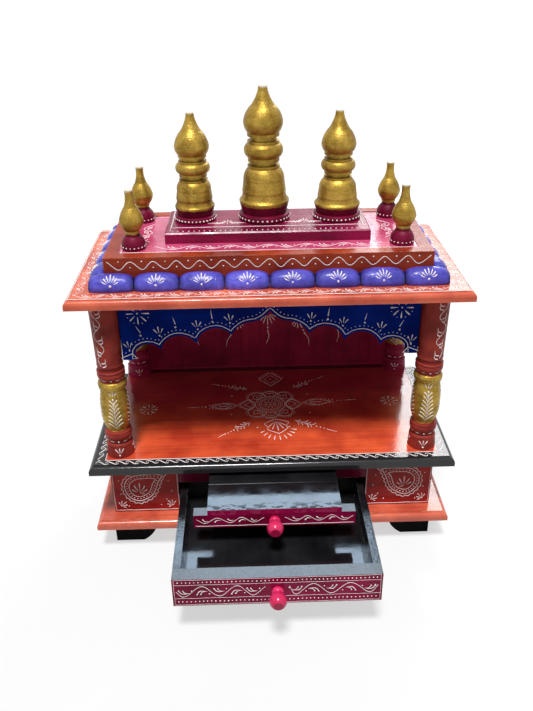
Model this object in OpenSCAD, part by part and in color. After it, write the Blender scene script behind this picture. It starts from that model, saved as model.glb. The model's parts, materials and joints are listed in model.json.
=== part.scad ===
// Painted wooden home shrine: three moulded boards, a base with a drawer and a
// pull-out tray, turned pillars, cusped valances and a roof with bolsters and finials.
// Millimetres, +Z up, front towards -Y, origin on the ground below the middle of the box
// that holds the shrine with its drawer pulled out.

/* [Boards] */
// Width of the base, floor and roof boards
board_w = 457; // [430:1:500]
// Depth of the boards from front edge to back edge
board_d = 234; // [220:1:260]
// Thickness of each board
board_t = 12; // [10:0.5:16]
// Inset of the small step that runs round a board's moulded edge
edge_in = 6; // [3:0.5:7]
// Height of that step
edge_step = 1.2; // [0.5:0.1:2]

/* [Feet] */
// Height of the bracket feet
foot_h = 35; // [20:1:45]
// Width of a foot where it meets the ground
foot_w = 41; // [30:1:50]
// Length of the curve by which a foot widens towards the base board
foot_flare = 24; // [10:1:30]
// Thickness of a foot's two wings
foot_t = 16; // [10:1:22]
// Distance of the feet from the base board's edges
foot_in = 19; // [10:1:30]

/* [Base box] */
// Height of the box between base board and floor board
box_h = 76; // [66:1:90]
// How far the boards reach past the box at the front and sides
overhang = 21.5; // [12:0.5:30]
// Thickness of the box's boards
box_t = 10; // [8:0.5:14]
// Width of the drawer's opening
drawer_open_w = 243; // [200:1:280]
// Height of the drawer's opening
drawer_open_h = 46; // [42:0.5:50]
// Width of the tray's slot
tray_slot_w = 163; // [130:1:180]
// Height of the tray's slot under the floor board
tray_slot_h = 13.3; // [10:0.1:16]
// Height of the rails that guide the drawer's sides
guide_h = 22; // [10:1:30]
// Width of the guide rails
guide_w = 12; // [8:1:20]
// Thickness of the runners that carry the tray
runner_t = 6; // [4:0.5:8]
// How far a runner reaches under the tray
runner_lip = 9; // [5:1:20]

/* [Drawer] */
// How far the drawer stands open
drawer_out = 164.5; // [140:0.5:180]
// Length of the drawer from front face to back
drawer_l = 200; // [190:1:202]
// Height of the drawer
drawer_h = 40; // [34:0.5:41]
// Gap between the drawer and its opening at each side
drawer_gap = 4; // [1:0.5:6]
// Thickness of the drawer's front
drawer_front_t = 17; // [10:0.5:20]
// Thickness of the drawer's sides and back
drawer_side_t = 9; // [6:0.5:12]
// Thickness of the drawer's bottom
drawer_bottom_t = 5; // [3:0.5:8]
// How far the drawer's bottom lies above the lower edges of its sides
drawer_bottom_up = 9; // [0:0.5:12]
// Gap under a sliding piece
run_gap = 0.3; // [0.2:0.1:0.6]

/* [Tray] */
// How far the tray's bar stands in front of the box
tray_out = 85.6; // [40:0.2:110]
// Length of the tray from the bar's face to its back
tray_l = 190; // [170:1:195]
// Width of the tray's board
tray_w = 159; // [120:1:160]
// Thickness of the tray's board
tray_t = 7; // [5:0.5:8]
// Width of the bar along the tray's front
bar_w = 192.6; // [170:0.2:210]
// Height of the bar
bar_h = 18.7; // [15:0.1:20]
// Thickness of the bar
bar_t = 14; // [8:0.5:18]

/* [Knobs] */
// Radius of a knob's ball
knob_r = 10; // [7:0.25:11]
// How far a knob stands out
knob_l = 24; // [18:0.5:30]
// Radius of a knob's neck and of its flat front
knob_neck_r = 5.5; // [3:0.25:6]
// Radius of the bead between the neck and the wood behind it
knob_bead_r = 7; // [6:0.25:9]
// Length of that bead
knob_bead_l = 6; // [4:0.5:8]

/* [Pillars] */
// Height of the pillars
pillar_h = 214; // [180:1:260]
// Distance of the front pillars' axes from the boards' edges
pillar_in = 36; // [30:0.5:45]
// Height of the drum at a pillar's foot
drum_h = 20; // [15:0.5:26]
// Radius of the drum
drum_r = 17.6; // [15:0.1:20]
// Height of the ring above the drum
low_ring_h = 17; // [12:0.5:22]
// Radius of both rings
ring_r = 16.9; // [15:0.1:20]
// Height of the gilded baluster
baluster_h = 58; // [50:0.5:80]
// Radius of the baluster at its fullest
baluster_r = 17.5; // [15:0.1:20]
// Height of the collar on top of the baluster
collar_h = 10; // [6:0.5:14]
// Height of the ring above the collar
high_ring_h = 18; // [12:0.5:24]
// Height of the fillets between the turnings
fillet_h = 2; // [1:0.25:3]
// Radius of the shaft at its lower end
shaft_low_r = 15.6; // [14:0.1:18]
// Radius of the shaft under the roof
shaft_top_r = 17.2; // [15:0.1:20]
// Radius of the grooves between the turnings
groove_r = 13.6; // [10:0.1:14.5]
// How far the half-round back pillars' axes lie behind their flat backs
back_pillar_cut = 3; // [0:0.5:6]

/* [Walls of the shrine] */
// Thickness of the back panel
back_panel_t = 5; // [3:0.5:10]
// How far the back panel reaches past the pillars' axes
back_panel_past = 8; // [2:0.5:14]
// Thickness of the valances
valance_t = 8; // [5:0.5:12]
// Depth of the valances at their ends
valance_h = 80; // [60:0.5:90]
// Width of the flat end of a valance
valance_end = 14; // [8:0.5:24]
// Height of the wood left over the arch's peak
valance_crown = 20; // [12:0.5:30]

/* [Roof] */
// Distance of the platform from the roof board's side edges
platform_side_in = 41.8; // [34:0.2:55]
// Depth of the platform
platform_d = 163; // [140:0.5:172]
// Height of the platform
platform_h = 34; // [24:0.5:45]
// Distance of the platform from the roof board's front edge
platform_in = 39.5; // [32:0.5:50]
// Width of the platform's frame
frame_w = 15; // [10:0.5:20]
// Width of the ledge that carries the platform's panel
ledge_w = 10; // [5:0.5:15]
// Thickness of the platform's panel
panel_t = 6; // [4:0.5:9]
// How far the panel lies below the frame's top
panel_sink = 1; // [0.5:0.1:6]
// Depth of the bolsters in front of the platform
bolster_d = 19.5; // [14:0.5:24]
// Height of a bolster's pads
bolster_h = 16; // [12:0.5:20]
// How much thinner the pads are where they meet
bolster_pinch = 3.5; // [1:0.25:5]
// Number of pads along the front
front_pads = 8; // [4:1:12]
// Number of pads along a side
side_pads = 4; // [2:1:6]
// Width of the block under the large finials
block_w = 241; // [200:0.5:280]
// Depth of that block
block_d = 86; // [78:1:100]
// Height of that block
block_h = 13; // [8:0.5:20]
// Chamfer along the block's top edges
block_chamfer = 1.5; // [0.5:0.25:4]
// Distance of the block behind the platform's middle
block_back = 5.5; // [-8:0.5:8]
// Distance of the large finials' row behind the block's middle
finial_back = 10; // [-10:0.5:12]

/* [Finials] */
// Height of the centre finial
centre_finial_h = 153.8; // [120:0.2:180]
// Height at which the centre finial's bulb is fullest
centre_bulb_z = 115.5; // [90:0.5:140]
// Radius of the centre finial's bulb
centre_bulb_r = 23.1; // [18:0.1:26]
// Radius of the centre finial's base
centre_base_r = 31.2; // [26:0.2:33]
// Place of the centre finial along the block
centre_finial_x = -2.8; // [-6:0.2:6]
// Height of the side finials
side_finial_h = 125.8; // [100:0.2:150]
// Height at which the side finials' bulbs are fullest
side_bulb_z = 88.4; // [70:0.2:110]
// Radius of the side finials' bulbs
side_bulb_r = 20.5; // [16:0.25:22]
// Radius of the left finial's base
left_base_r = 24.8; // [22:0.2:30]
// Place of the left finial along the block
left_finial_x = -87; // [-92:0.2:-70]
// Radius of the right finial's base
right_base_r = 28.8; // [22:0.2:30]
// Place of the right finial along the block
right_finial_x = 85.8; // [70:0.2:90]
// Height of the corner finials
corner_finial_h = 68.5; // [50:0.5:80]
// Radius of the corner finials
corner_finial_r = 14; // [11:0.25:15]
// Distance of the corner finials' axes from the panel's edges
corner_finial_in = 16.25; // [15.5:0.25:25]
// Distance of the corner finials' middle behind the panel's middle
corner_finial_back = 2; // [-2:0.25:2]

/* [Hidden] */
$fn = 48;
arc_steps = 8;

// Heights of the stacked levels
base_z = foot_h;
box_z = base_z + board_t;
floor_z = box_z + box_h;
pillar_z = floor_z + board_t;
roof_z = pillar_z + pillar_h;
deck_z = roof_z + board_t;
panel_z = deck_z + platform_h - panel_sink;
block_z = panel_z;
finial_z = block_z + block_h;

// Depths, with the origin half-way between the open drawer's knob and the back panel
board_front = (drawer_out + knob_l - overhang - board_d - back_panel_t) / 2;
board_back = board_front + board_d;
box_front = board_front + overhang;
box_back = board_back;
box_w = board_w - 2 * overhang;
inner_front = box_front + box_t;
inner_back = box_back - box_t;

drawer_face = box_front - drawer_out;
drawer_w = drawer_open_w - 2 * drawer_gap;
drawer_z = box_z + run_gap;
tray_face = box_front - tray_out;
rail_z = floor_z - tray_slot_h;
tray_z = rail_z + run_gap;

pillar_x = board_w / 2 - pillar_in;
pillar_front_y = board_front + pillar_in;
pillar_back_y = board_back + back_pillar_cut;

platform_w = board_w - 2 * platform_side_in;
platform_front = board_front + platform_in;
platform_mid = platform_front + platform_d / 2;
panel_w = platform_w - 2 * frame_w;
panel_d = platform_d - 2 * frame_w;
block_y = platform_mid + block_back;

full_turn = 360;

// Points of the arc from p to q that bulges to the right by rise, without q itself
function arc_points(p, q, rise) =
    rise == 0 ? [p] :
    let (d = q - p, half = norm(d) / 2, side = sign(rise), s = abs(rise),
         r = (half * half + s * s) / (2 * s),
         normal = [d[1], -d[0]] / norm(d) * side,
         c = (p + q) / 2 - normal * (r - s),
         from = atan2(p[1] - c[1], p[0] - c[0]),
         to = atan2(q[1] - c[1], q[0] - c[0]),
         turn = (to - from) * side < 0 ? to - from + full_turn * side : to - from)
    [for (i = [0 : arc_steps - 1]) c + r * [cos(from + turn * i / arc_steps),
                                            sin(from + turn * i / arc_steps)]];

// Outline through stations [x, y, rise], where rise bends the stretch to the next one
function outline(stations) =
    let (last = len(stations) - 1)
    [for (i = [0 : last])
        let (a = stations[i], b = stations[i == last ? 0 : i + 1])
        each arc_points([a[0], a[1]], [b[0], b[1]], a[2])];

module turned(stations)
    rotate_extrude()
        polygon(concat([[0, stations[0][1]]], outline(stations),
                       [[0, stations[len(stations) - 1][1]]]));

module slab(w, d, h)
    translate([-w / 2, 0, 0]) cube([w, d, h]);

// Boards with a stepped, rounded edge at the front and both sides
module rounded_end() {
    nose_z = board_t - edge_step - edge_in;
    square([edge_in, nose_z]);
    translate([0, nose_z])
        intersection() {
            circle(r = edge_in);
            square(edge_in);
        }
}

module width_profile() {
    translate([-board_w / 2 + edge_in, 0]) square([board_w - 2 * edge_in, board_t]);
    for (side = [0, 1])
        mirror([side, 0]) translate([board_w / 2 - edge_in, 0]) rounded_end();
}

module depth_profile() {
    translate([edge_in, 0]) square([board_d - edge_in, board_t]);
    translate([edge_in, 0]) mirror([1, 0]) rounded_end();
}

module moulded_board(z)
    translate([0, board_front, z])
        intersection() {
            translate([0, board_d, 0]) rotate([90, 0, 0])
                linear_extrude(board_d) width_profile();
            translate([-board_w / 2, 0, 0]) rotate([90, 0, 90])
                linear_extrude(board_w) depth_profile();
        }

module base_board() color("#a63a2c") moulded_board(base_z);
module floor_board() color("#8e2f22") moulded_board(floor_z);
module roof_board() color("#b5483a") moulded_board(roof_z);

// Bracket feet: two wings that meet at the corner, each curving up to the board
module foot_wing()
    translate([0, foot_t, 0]) rotate([90, 0, 0])
        linear_extrude(foot_t)
            polygon(outline([[0, 0, 0], [foot_w - foot_flare / 6, 0, foot_flare / 14],
                             [foot_w + foot_flare / 2, foot_h / 2, -foot_flare / 14],
                             [foot_w + foot_flare, foot_h, 0], [0, foot_h, 0]]));

module foot(right, back) {
    x = board_w / 2 - foot_in;
    y = back ? board_back - foot_in : board_front + foot_in;
    color("#141414")
        translate([right ? x : -x, y, 0])
            mirror([right ? 1 : 0, 0, 0]) mirror([0, back ? 1 : 0, 0]) {
                foot_wing();
                mirror([1, -1, 0]) foot_wing();
            }
}

// Base box: front board with the drawer's opening and the tray's slot, sides and back
module base_front_board()
    color("#7c2433")
        translate([0, inner_front, box_z]) rotate([90, 0, 0])
            linear_extrude(box_t)
                difference() {
                    translate([-box_w / 2, 0]) square([box_w, box_h]);
                    translate([-drawer_open_w / 2, -1]) square([drawer_open_w, drawer_open_h + 1]);
                    translate([-tray_slot_w / 2, box_h - tray_slot_h])
                        square([tray_slot_w, tray_slot_h + 1]);
                }

module base_side(side)
    color("#8a2d2c")
        translate([side * (box_w - box_t) / 2, inner_front, box_z])
            slab(box_t, box_back - inner_front, box_h);

module base_back_board()
    color("#7a2a24")
        translate([0, inner_back, box_z]) slab(box_w - 2 * box_t, box_t, box_h);

// Rails beside the drawer
module drawer_guides()
    color("#2a1a16")
        for (side = [-1, 1])
            translate([side * (drawer_open_w + guide_w) / 2, inner_front, box_z])
                slab(guide_w, inner_back - inner_front, guide_h);

// Angled runners under the floor board, with a lip below the tray's edges
module tray_runners()
    color("#2a1a16")
        for (side = [0, 1])
            mirror([side, 0, 0])
                translate([tray_slot_w / 2, inner_back, 0]) rotate([90, 0, 0])
                    linear_extrude(inner_back - inner_front) {
                        translate([0, rail_z - runner_t])
                            square([runner_t, tray_slot_h + runner_t]);
                        translate([-runner_lip, rail_z - runner_t])
                            square([runner_lip + runner_t, runner_t]);
                    }

// Drawer, open as it stands
module drawer_front()
    color("#8b1233")
        translate([0, drawer_face, drawer_z]) slab(drawer_w, drawer_front_t, drawer_h);

module drawer_side(side)
    color("#1a1c1d")
        translate([side * (drawer_w - drawer_side_t) / 2, drawer_face + drawer_front_t, drawer_z])
            slab(drawer_side_t, drawer_l - drawer_front_t, drawer_h);

module drawer_back()
    color("#1a1c1d")
        translate([0, drawer_face + drawer_l - drawer_side_t, drawer_z])
            slab(drawer_w - 2 * drawer_side_t, drawer_side_t, drawer_h);

module drawer_bottom()
    color("#0e0f10")
        translate([0, drawer_face + drawer_front_t, drawer_z + drawer_bottom_up])
            slab(drawer_w - 2 * drawer_side_t,
                 drawer_l - drawer_front_t - drawer_side_t, drawer_bottom_t);

// Turned knob that points to the front: bead, neck and ball with a flat front
module knob(y, z) {
    bead_r = knob_bead_r * 0.85;
    color("#b3173f")
        translate([0, y, z]) rotate([90, 0, 0])
            turned([[bead_r, 0, knob_bead_r - bead_r], [bead_r, knob_bead_l, 0],
                    [knob_neck_r, knob_bead_l, 0],
                    [knob_neck_r, knob_bead_l * 1.2, knob_r - knob_neck_r],
                    [knob_neck_r, knob_l, 0]]);
}
module drawer_knob() knob(drawer_face, drawer_z + drawer_h / 2);
module tray_knob() knob(tray_face, tray_z - bar_h / 2);

// Tray: a thin board on a wider bar
module tray_board()
    color("#232627") translate([0, tray_face, tray_z]) slab(tray_w, tray_l, tray_t);

module tray_bar()
    color("#8b1233") translate([0, tray_face, tray_z - bar_h]) slab(bar_w, bar_t, bar_h);

// Pillar: drum, ring, baluster, collar, ring and tapering shaft
module pillar_turning() {
    ring_z = drum_h + fillet_h;
    baluster_z = ring_z + low_ring_h;
    collar_z = baluster_z + baluster_h;
    high_z = collar_z + collar_h;
    shaft_z = high_z + high_ring_h;
    drum_top_r = drum_r * 0.93;
    ring_low_r = ring_r * 0.88;
    ring_side_r = ring_r * 0.95;
    turned([[drum_r, 0, 0], [drum_top_r, drum_h * 0.75, fillet_h * 0.6], [groove_r, drum_h, 0],
            [groove_r, ring_z, 0], [ring_low_r, ring_z, 0],
            [ring_low_r, ring_z + low_ring_h * 0.15, 0],
            [ring_side_r, ring_z + low_ring_h * 0.25, ring_r - ring_side_r],
            [ring_side_r, ring_z + low_ring_h * 0.7, fillet_h * 0.7],
            [groove_r, baluster_z - fillet_h, 0], [groove_r * 0.96, baluster_z, fillet_h * 0.9],
            [baluster_r, baluster_z + baluster_h * 0.45, fillet_h * 0.5],
            [ring_low_r, collar_z - fillet_h, 0],
            [ring_low_r, collar_z, fillet_h * 0.5],
            [ring_r, collar_z + collar_h * 0.3, fillet_h * 0.3],
            [ring_r, collar_z + collar_h * 0.75, fillet_h * 0.2],
            [ring_low_r, high_z, 0], [ring_low_r, high_z + high_ring_h * 0.2, 0],
            [ring_side_r, high_z + high_ring_h * 0.28, ring_r - ring_side_r],
            [ring_side_r, high_z + high_ring_h * 0.68, fillet_h * 0.7],
            [ring_low_r, high_z + high_ring_h * 0.85, fillet_h * 0.4],
            [groove_r, shaft_z - fillet_h, 0], [groove_r, shaft_z, fillet_h * 0.5],
            [shaft_low_r, shaft_z + fillet_h * 3, 0], [shaft_top_r, pillar_h, 0]]);
}

module front_pillar(side)
    color("#9c3324")
        translate([side * pillar_x, pillar_front_y, pillar_z]) pillar_turning();

module back_pillar(side)
    color("#9c3324")
        intersection() {
            translate([side * pillar_x, pillar_back_y, pillar_z]) pillar_turning();
            translate([0, board_front, pillar_z]) slab(board_w, board_d, pillar_h);
        }

// Thin panel fixed to the back edges of the floor and roof boards
module back_panel()
    color("#5e1a18")
        translate([0, board_back, floor_z])
            slab(2 * (pillar_x + back_panel_past), back_panel_t, deck_z - floor_z);

// Cusped valance: half arch from the flat end to the peak, then its mirror image
// Stations of the half arch, as shares of its half width and of its height
foil_stations = [[1, 0], [0.803, 0.213], [0.539, 0.33]];
foil_bulge_share = 0.091;
ogee_stations = [[0.281, 0.497, 0.031], [0.118, 0.78, -0.012], [0, 1, 0]];
function arch_stations(half) =
    let (arch_h = valance_h - valance_crown, open = half - valance_end)
    concat([for (s = foil_stations) [open * s[0], arch_h * s[1], open * foil_bulge_share]],
           [for (s = ogee_stations) [open * s[0], arch_h * s[1], open * s[2]]]);

module valance_shape(span) {
    half = span / 2;
    arch = outline(arch_stations(half));
    right = [for (p = arch) [p[0], p[1]]];
    left = [for (i = [len(arch) - 1 : -1 : 0]) [-arch[i][0], arch[i][1]]];
    polygon(concat([[half, 0]], right, left, [[-half, 0], [-half, valance_h], [half, valance_h]]));
}

module valance(span)
    rotate([90, 0, 0]) translate([0, 0, -valance_t / 2])
        linear_extrude(valance_t) valance_shape(span);

valance_z = roof_z - valance_h;
front_span = 2 * (pillar_x - shaft_top_r);
side_from = pillar_front_y + shaft_top_r;
side_to = pillar_back_y - shaft_top_r;

module front_valance()
    color("#0b1d5c") translate([0, pillar_front_y, valance_z]) valance(front_span);

module side_valance(side)
    color("#0b1d5c")
        translate([side * pillar_x, (side_from + side_to) / 2, valance_z])
            rotate([0, 0, 90]) valance(side_to - side_from);

// Rows of pillow-shaped pads round the platform, mitred at the corners
pad_axis_in = bolster_d * 0.42;
pad_axis_z = bolster_h * 0.28;
pad_r = bolster_d - pad_axis_in;

module pad(length)
    rotate([0, 90, 0])
        turned([[pad_r - bolster_pinch, -length / 2, bolster_pinch],
                [pad_r - bolster_pinch, length / 2, 0]]);

module bolster(inner, count) {
    outer = inner + 2 * bolster_d;
    pitch = outer / count;
    intersection() {
        for (i = [0 : count - 1])
            translate([(i + 0.5) * pitch - outer / 2, -pad_axis_in, pad_axis_z]) pad(pitch);
        linear_extrude(2 * bolster_h)
            polygon([[-inner / 2, 0], [inner / 2, 0], [outer / 2, -bolster_d], [-outer / 2, -bolster_d]]);
    }
}

module long_bolster(back)
    color("#2b2fb5")
        translate([0, platform_mid, deck_z]) rotate([0, 0, back ? 180 : 0])
            translate([0, -platform_d / 2, 0]) bolster(platform_w, front_pads);

module side_bolster(side)
    color("#2b2fb5")
        translate([0, platform_mid, deck_z]) rotate([0, 0, 90 * side])
            translate([0, -platform_w / 2, 0]) bolster(platform_d, side_pads);

// Platform: a frame with a ledge, and the panel let into it
module platform_frame()
    color("#b5483a")
        translate([0, platform_front, deck_z])
            difference() {
                slab(platform_w, platform_d, platform_h);
                translate([0, frame_w, panel_z - panel_t - deck_z])
                    slab(panel_w, panel_d, platform_h);
                translate([0, frame_w + ledge_w, -1])
                    slab(panel_w - 2 * ledge_w, panel_d - 2 * ledge_w, platform_h);
            }

module platform_panel()
    color("#c22a6a")
        translate([0, platform_front + frame_w, panel_z - panel_t]) slab(panel_w, panel_d, panel_t);

module chamfered(w)
    polygon([[-w / 2, 0], [w / 2, 0], [w / 2, block_h - block_chamfer],
             [w / 2 - block_chamfer, block_h], [block_chamfer - w / 2, block_h],
             [-w / 2, block_h - block_chamfer]]);

module finial_block()
    color("#8b1248")
        translate([0, block_y, block_z])
            intersection() {
                translate([0, block_d / 2, 0]) rotate([90, 0, 0])
                    linear_extrude(block_d) chamfered(block_w);
                translate([-block_w / 2, 0, 0]) rotate([90, 0, 90])
                    linear_extrude(block_w) chamfered(block_d);
            }

// Large finial: base ring, bell, ringed neck, torus and onion bulb with a cut tip
module large_finial(x, h, b, bulb_r, base_r) {
    bell_r = (bulb_r + base_r) / 2;
    neck = bulb_r * 0.82;
    groove = bulb_r * 0.66;
    tip = h - b;
    color("#a5812c")
        translate([x, block_y + finial_back, finial_z])
            turned([[base_r * 0.98, 0, base_r * 0.02], [base_r * 0.98, b * 0.064, 0],
                    [base_r * 0.93, b * 0.073, 0], [base_r * 0.87, b * 0.075, 0],
                    [base_r * 0.87, b * 0.081, 0], [base_r * 0.945, b * 0.165, base_r * 0.01],
                    [base_r * 0.96, b * 0.205, -base_r * 0.05],
                    [bell_r * 0.97, b * 0.3, 0], [bell_r * 0.91, b * 0.41, bell_r * 0.06],
                    [neck, b * 0.535, 0], [neck * 1.02, b * 0.552, 0], [neck * 1.02, b * 0.564, 0],
                    [groove, b * 0.57, 0], [groove, b * 0.596, 0], [neck * 0.99, b * 0.602, 0],
                    [neck * 0.99, b * 0.632, 0],
                    [neck * 0.98, b * 0.64, bulb_r * 0.2], [neck * 0.98, b * 0.785, 0],
                    [neck, b * 0.79, 0], [neck, b * 0.81, 0],
                    [groove, b * 0.816, 0], [groove, b * 0.848, 0],
                    [neck, b * 0.854, 0], [neck, b * 0.88, 0],
                    [neck * 0.98, b * 0.885, bulb_r * 0.055], [bulb_r, b, bulb_r * 0.078],
                    [bulb_r * 0.58, b + tip * 0.465, -bulb_r * 0.03],
                    [bulb_r * 0.26, b + tip * 0.85, 0], [bulb_r * 0.22, h, 0]]);
}

// Corner finial: ringed foot and a teardrop with a cut tip
module corner_finial(right, back) {
    r = corner_finial_r;
    h = corner_finial_h;
    x = panel_w / 2 - corner_finial_in;
    y = panel_d / 2 - corner_finial_in;
    color("#a5812c")
        translate([right ? x : -x, platform_mid + corner_finial_back + (back ? y : -y), panel_z])
            turned([[r * 0.98, 0, r * 0.02], [r * 0.98, h * 0.1, r * 0.06],
                    [r * 0.64, h * 0.225, 0], [r * 0.55, h * 0.27, 0], [r * 0.55, h * 0.285, 0],
                    [r * 0.62, h * 0.29, 0], [r * 0.62, h * 0.315, 0],
                    [r * 0.6, h * 0.32, r * 0.085], [r, h * 0.49, r * 0.068],
                    [r * 0.52, h * 0.714, -r * 0.03], [r * 0.33, h * 0.88, 0],
                    [r * 0.335, h, 0]]);
}

foot(false, false);  // foot_front_left
foot(true, false);  // foot_front_right
foot(false, true);  // foot_back_left
foot(true, true);  // foot_back_right
base_board();
base_front_board();
base_side(-1);  // base_left_side
base_side(1);  // base_right_side
base_back_board();
drawer_guides();
tray_runners();
floor_board();
drawer_front();
drawer_side(-1);  // drawer_left_side
drawer_side(1);  // drawer_right_side
drawer_back();
drawer_bottom();
drawer_knob();
tray_board();
tray_bar();
tray_knob();
front_pillar(-1);  // pillar_front_left
front_pillar(1);  // pillar_front_right
back_pillar(-1);  // pillar_back_left
back_pillar(1);  // pillar_back_right
back_panel();
front_valance();
side_valance(-1);  // left_valance
side_valance(1);  // right_valance
roof_board();
long_bolster(false);  // bolster_front
long_bolster(true);  // bolster_back
side_bolster(-1);  // bolster_left
side_bolster(1);  // bolster_right
platform_frame();
platform_panel();
finial_block();
large_finial(centre_finial_x, centre_finial_h, centre_bulb_z, centre_bulb_r, centre_base_r);  // centre_finial
large_finial(left_finial_x, side_finial_h, side_bulb_z, side_bulb_r, left_base_r);  // left_finial
large_finial(right_finial_x, side_finial_h, side_bulb_z, side_bulb_r, right_base_r);  // right_finial
corner_finial(false, false);  // corner_finial_front_left
corner_finial(true, false);  // corner_finial_front_right
corner_finial(false, true);  // corner_finial_back_left
corner_finial(true, true);  // corner_finial_back_right
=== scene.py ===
"""Looks of a painted wooden home shrine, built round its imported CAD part."""

import json
import math
import random

import bmesh
import bpy
import numpy as np
from mathutils import Matrix, Vector
from mathutils.bvhtree import BVHTree


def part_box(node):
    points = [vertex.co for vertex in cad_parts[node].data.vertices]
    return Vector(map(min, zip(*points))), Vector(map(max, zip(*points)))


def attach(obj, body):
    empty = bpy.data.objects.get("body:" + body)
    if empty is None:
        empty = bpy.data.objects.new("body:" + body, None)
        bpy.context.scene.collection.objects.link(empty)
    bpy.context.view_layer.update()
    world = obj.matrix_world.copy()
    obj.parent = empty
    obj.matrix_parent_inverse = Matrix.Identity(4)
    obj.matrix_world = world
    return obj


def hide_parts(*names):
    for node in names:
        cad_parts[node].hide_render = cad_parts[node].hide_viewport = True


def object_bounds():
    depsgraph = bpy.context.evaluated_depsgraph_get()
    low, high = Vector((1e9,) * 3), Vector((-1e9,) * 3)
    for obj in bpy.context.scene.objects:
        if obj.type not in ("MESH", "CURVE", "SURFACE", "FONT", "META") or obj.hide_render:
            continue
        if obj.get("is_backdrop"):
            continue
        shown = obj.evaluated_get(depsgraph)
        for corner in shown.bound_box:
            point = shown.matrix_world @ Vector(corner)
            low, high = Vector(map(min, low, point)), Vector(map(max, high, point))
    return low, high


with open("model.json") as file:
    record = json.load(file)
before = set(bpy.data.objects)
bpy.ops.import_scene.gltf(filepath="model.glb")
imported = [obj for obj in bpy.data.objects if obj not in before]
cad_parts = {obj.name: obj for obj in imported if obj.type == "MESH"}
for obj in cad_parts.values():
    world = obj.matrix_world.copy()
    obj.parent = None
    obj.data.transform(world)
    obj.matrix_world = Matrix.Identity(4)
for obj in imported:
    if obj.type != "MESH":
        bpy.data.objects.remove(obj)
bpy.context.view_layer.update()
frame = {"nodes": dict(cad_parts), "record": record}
NODES = frame["nodes"]
MM = 0.001
scene = bpy.context.scene
hand = random.Random(7)


# Sizes read from the CAD nodes, in mm
def box_mm(node):
    """Lowest and highest corner of a CAD node, in mm."""
    low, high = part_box(node)
    return np.array(low) / MM, np.array(high) / MM


def middle(node):
    """Middle of a CAD node's box, in mm."""
    low, high = box_mm(node)
    return (low + high) / 2


def points_mm(node):
    """All points of a CAD node, in mm."""
    return np.array([v.co for v in NODES[node].data.vertices]) / MM


# Materials
class Nodes:
    """A node tree with short ways to add to it."""

    def __init__(self, tree):
        self.tree = tree

    def put(self, socket, value):
        """Link a socket or set its value; a colour of three gets its alpha."""
        if isinstance(value, bpy.types.NodeSocket):
            self.tree.links.new(value, socket)
        elif socket.type == "RGBA" and len(value) == 3:
            socket.default_value = (*value, 1)
        else:
            socket.default_value = value

    def add(self, kind, inputs=None, **settings):
        node = self.tree.nodes.new(kind)
        for key, value in settings.items():
            setattr(node, key, value)
        for key, value in (inputs or {}).items():
            self.put(node.inputs[key], value)
        return node

    def sum(self, first, second, operation="ADD"):
        return self.add("ShaderNodeMath", {0: first, 1: second}, operation=operation).outputs[0]

    def shown(self):
        """One for camera, glossy and transmission rays, zero for all others."""
        rays = self.add("ShaderNodeLightPath").outputs
        seen = self.sum(rays["Is Camera Ray"], rays["Is Glossy Ray"], "MAXIMUM")
        return self.sum(seen, rays["Is Transmission Ray"], "MAXIMUM")


class Paint(Nodes):
    """A procedural material, built up in one node tree."""

    def __init__(self, name):
        self.material = bpy.data.materials.new(name)
        self.material.use_nodes = True
        super().__init__(self.material.node_tree)
        self.bsdf = self.tree.nodes["Principled BSDF"]
        self.place = self.add("ShaderNodeTexCoord").outputs["Object"]
        self.x, self.y, self.z = self.add("ShaderNodeSeparateXYZ", {"Vector": self.place}).outputs

    def noise(self, scale, detail=4, stretch=(1, 1, 1), shift=0.0):
        """Cloudy noise, with scale in cells a metre along each stretched axis."""
        place = self.add("ShaderNodeMapping", {"Vector": self.place, "Scale": stretch,
                                               "Location": (shift, shift, shift)}).outputs[0]
        cells = {"Vector": place, "Scale": scale, "Detail": detail}
        return self.add("ShaderNodeTexNoise", cells).outputs[0]

    def spread(self, value, low, high, out_low=0.0, out_high=1.0):
        """Value stretched from one range to another and held at its ends."""
        return self.add("ShaderNodeMapRange", {"Value": value, "From Min": low, "From Max": high,
                                               "To Min": out_low, "To Max": out_high}).outputs[0]

    def mix(self, share, first, second):
        return self.add("ShaderNodeMix", {0: share, 6: first, 7: second}, data_type="RGBA").outputs[2]

    def from_middle(self):
        """How far a point lies to either side of the middle."""
        return self.sum(self.x, 0.0, "ABSOLUTE")

    def worn_edges(self, radius):
        """High on sharp edges, broken up by noise."""
        bevel = self.add("ShaderNodeBevel", {"Radius": radius}, samples=4).outputs[0]
        plain = self.add("ShaderNodeNewGeometry").outputs["Normal"]
        alike = self.add("ShaderNodeVectorMath", {0: bevel, 1: plain}, operation="DOT_PRODUCT")
        edge = self.spread(alike.outputs["Value"], 0.97, 0.8)
        return self.sum(edge, self.spread(self.noise(90, 5), 0.42, 0.6), "MULTIPLY")

    def between(self, value, low, high, soft=0.0004):
        """One inside a range of a coordinate, zero outside."""
        rise = self.spread(value, low - soft, low + soft)
        fall = self.spread(value, high + soft, high - soft)
        return self.sum(rise, fall, "MULTIPLY")

    def finish(self, colour, rough, height, depth, metal=0.0, coat=0.0, spec=0.5):
        bump = self.add("ShaderNodeBump", {"Height": height, "Distance": depth, "Strength": 0.5}).outputs[0]
        settings = {"Specular IOR Level": spec, "Base Color": colour, "Roughness": rough, "Metallic": metal,
                    "Coat Weight": coat, "Coat Roughness": 0.12, "Normal": bump}
        for key, value in settings.items():
            self.put(self.bsdf.inputs[key], value)
        return self.material


def darker(colour, share):
    return tuple(c * share for c in colour)


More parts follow.
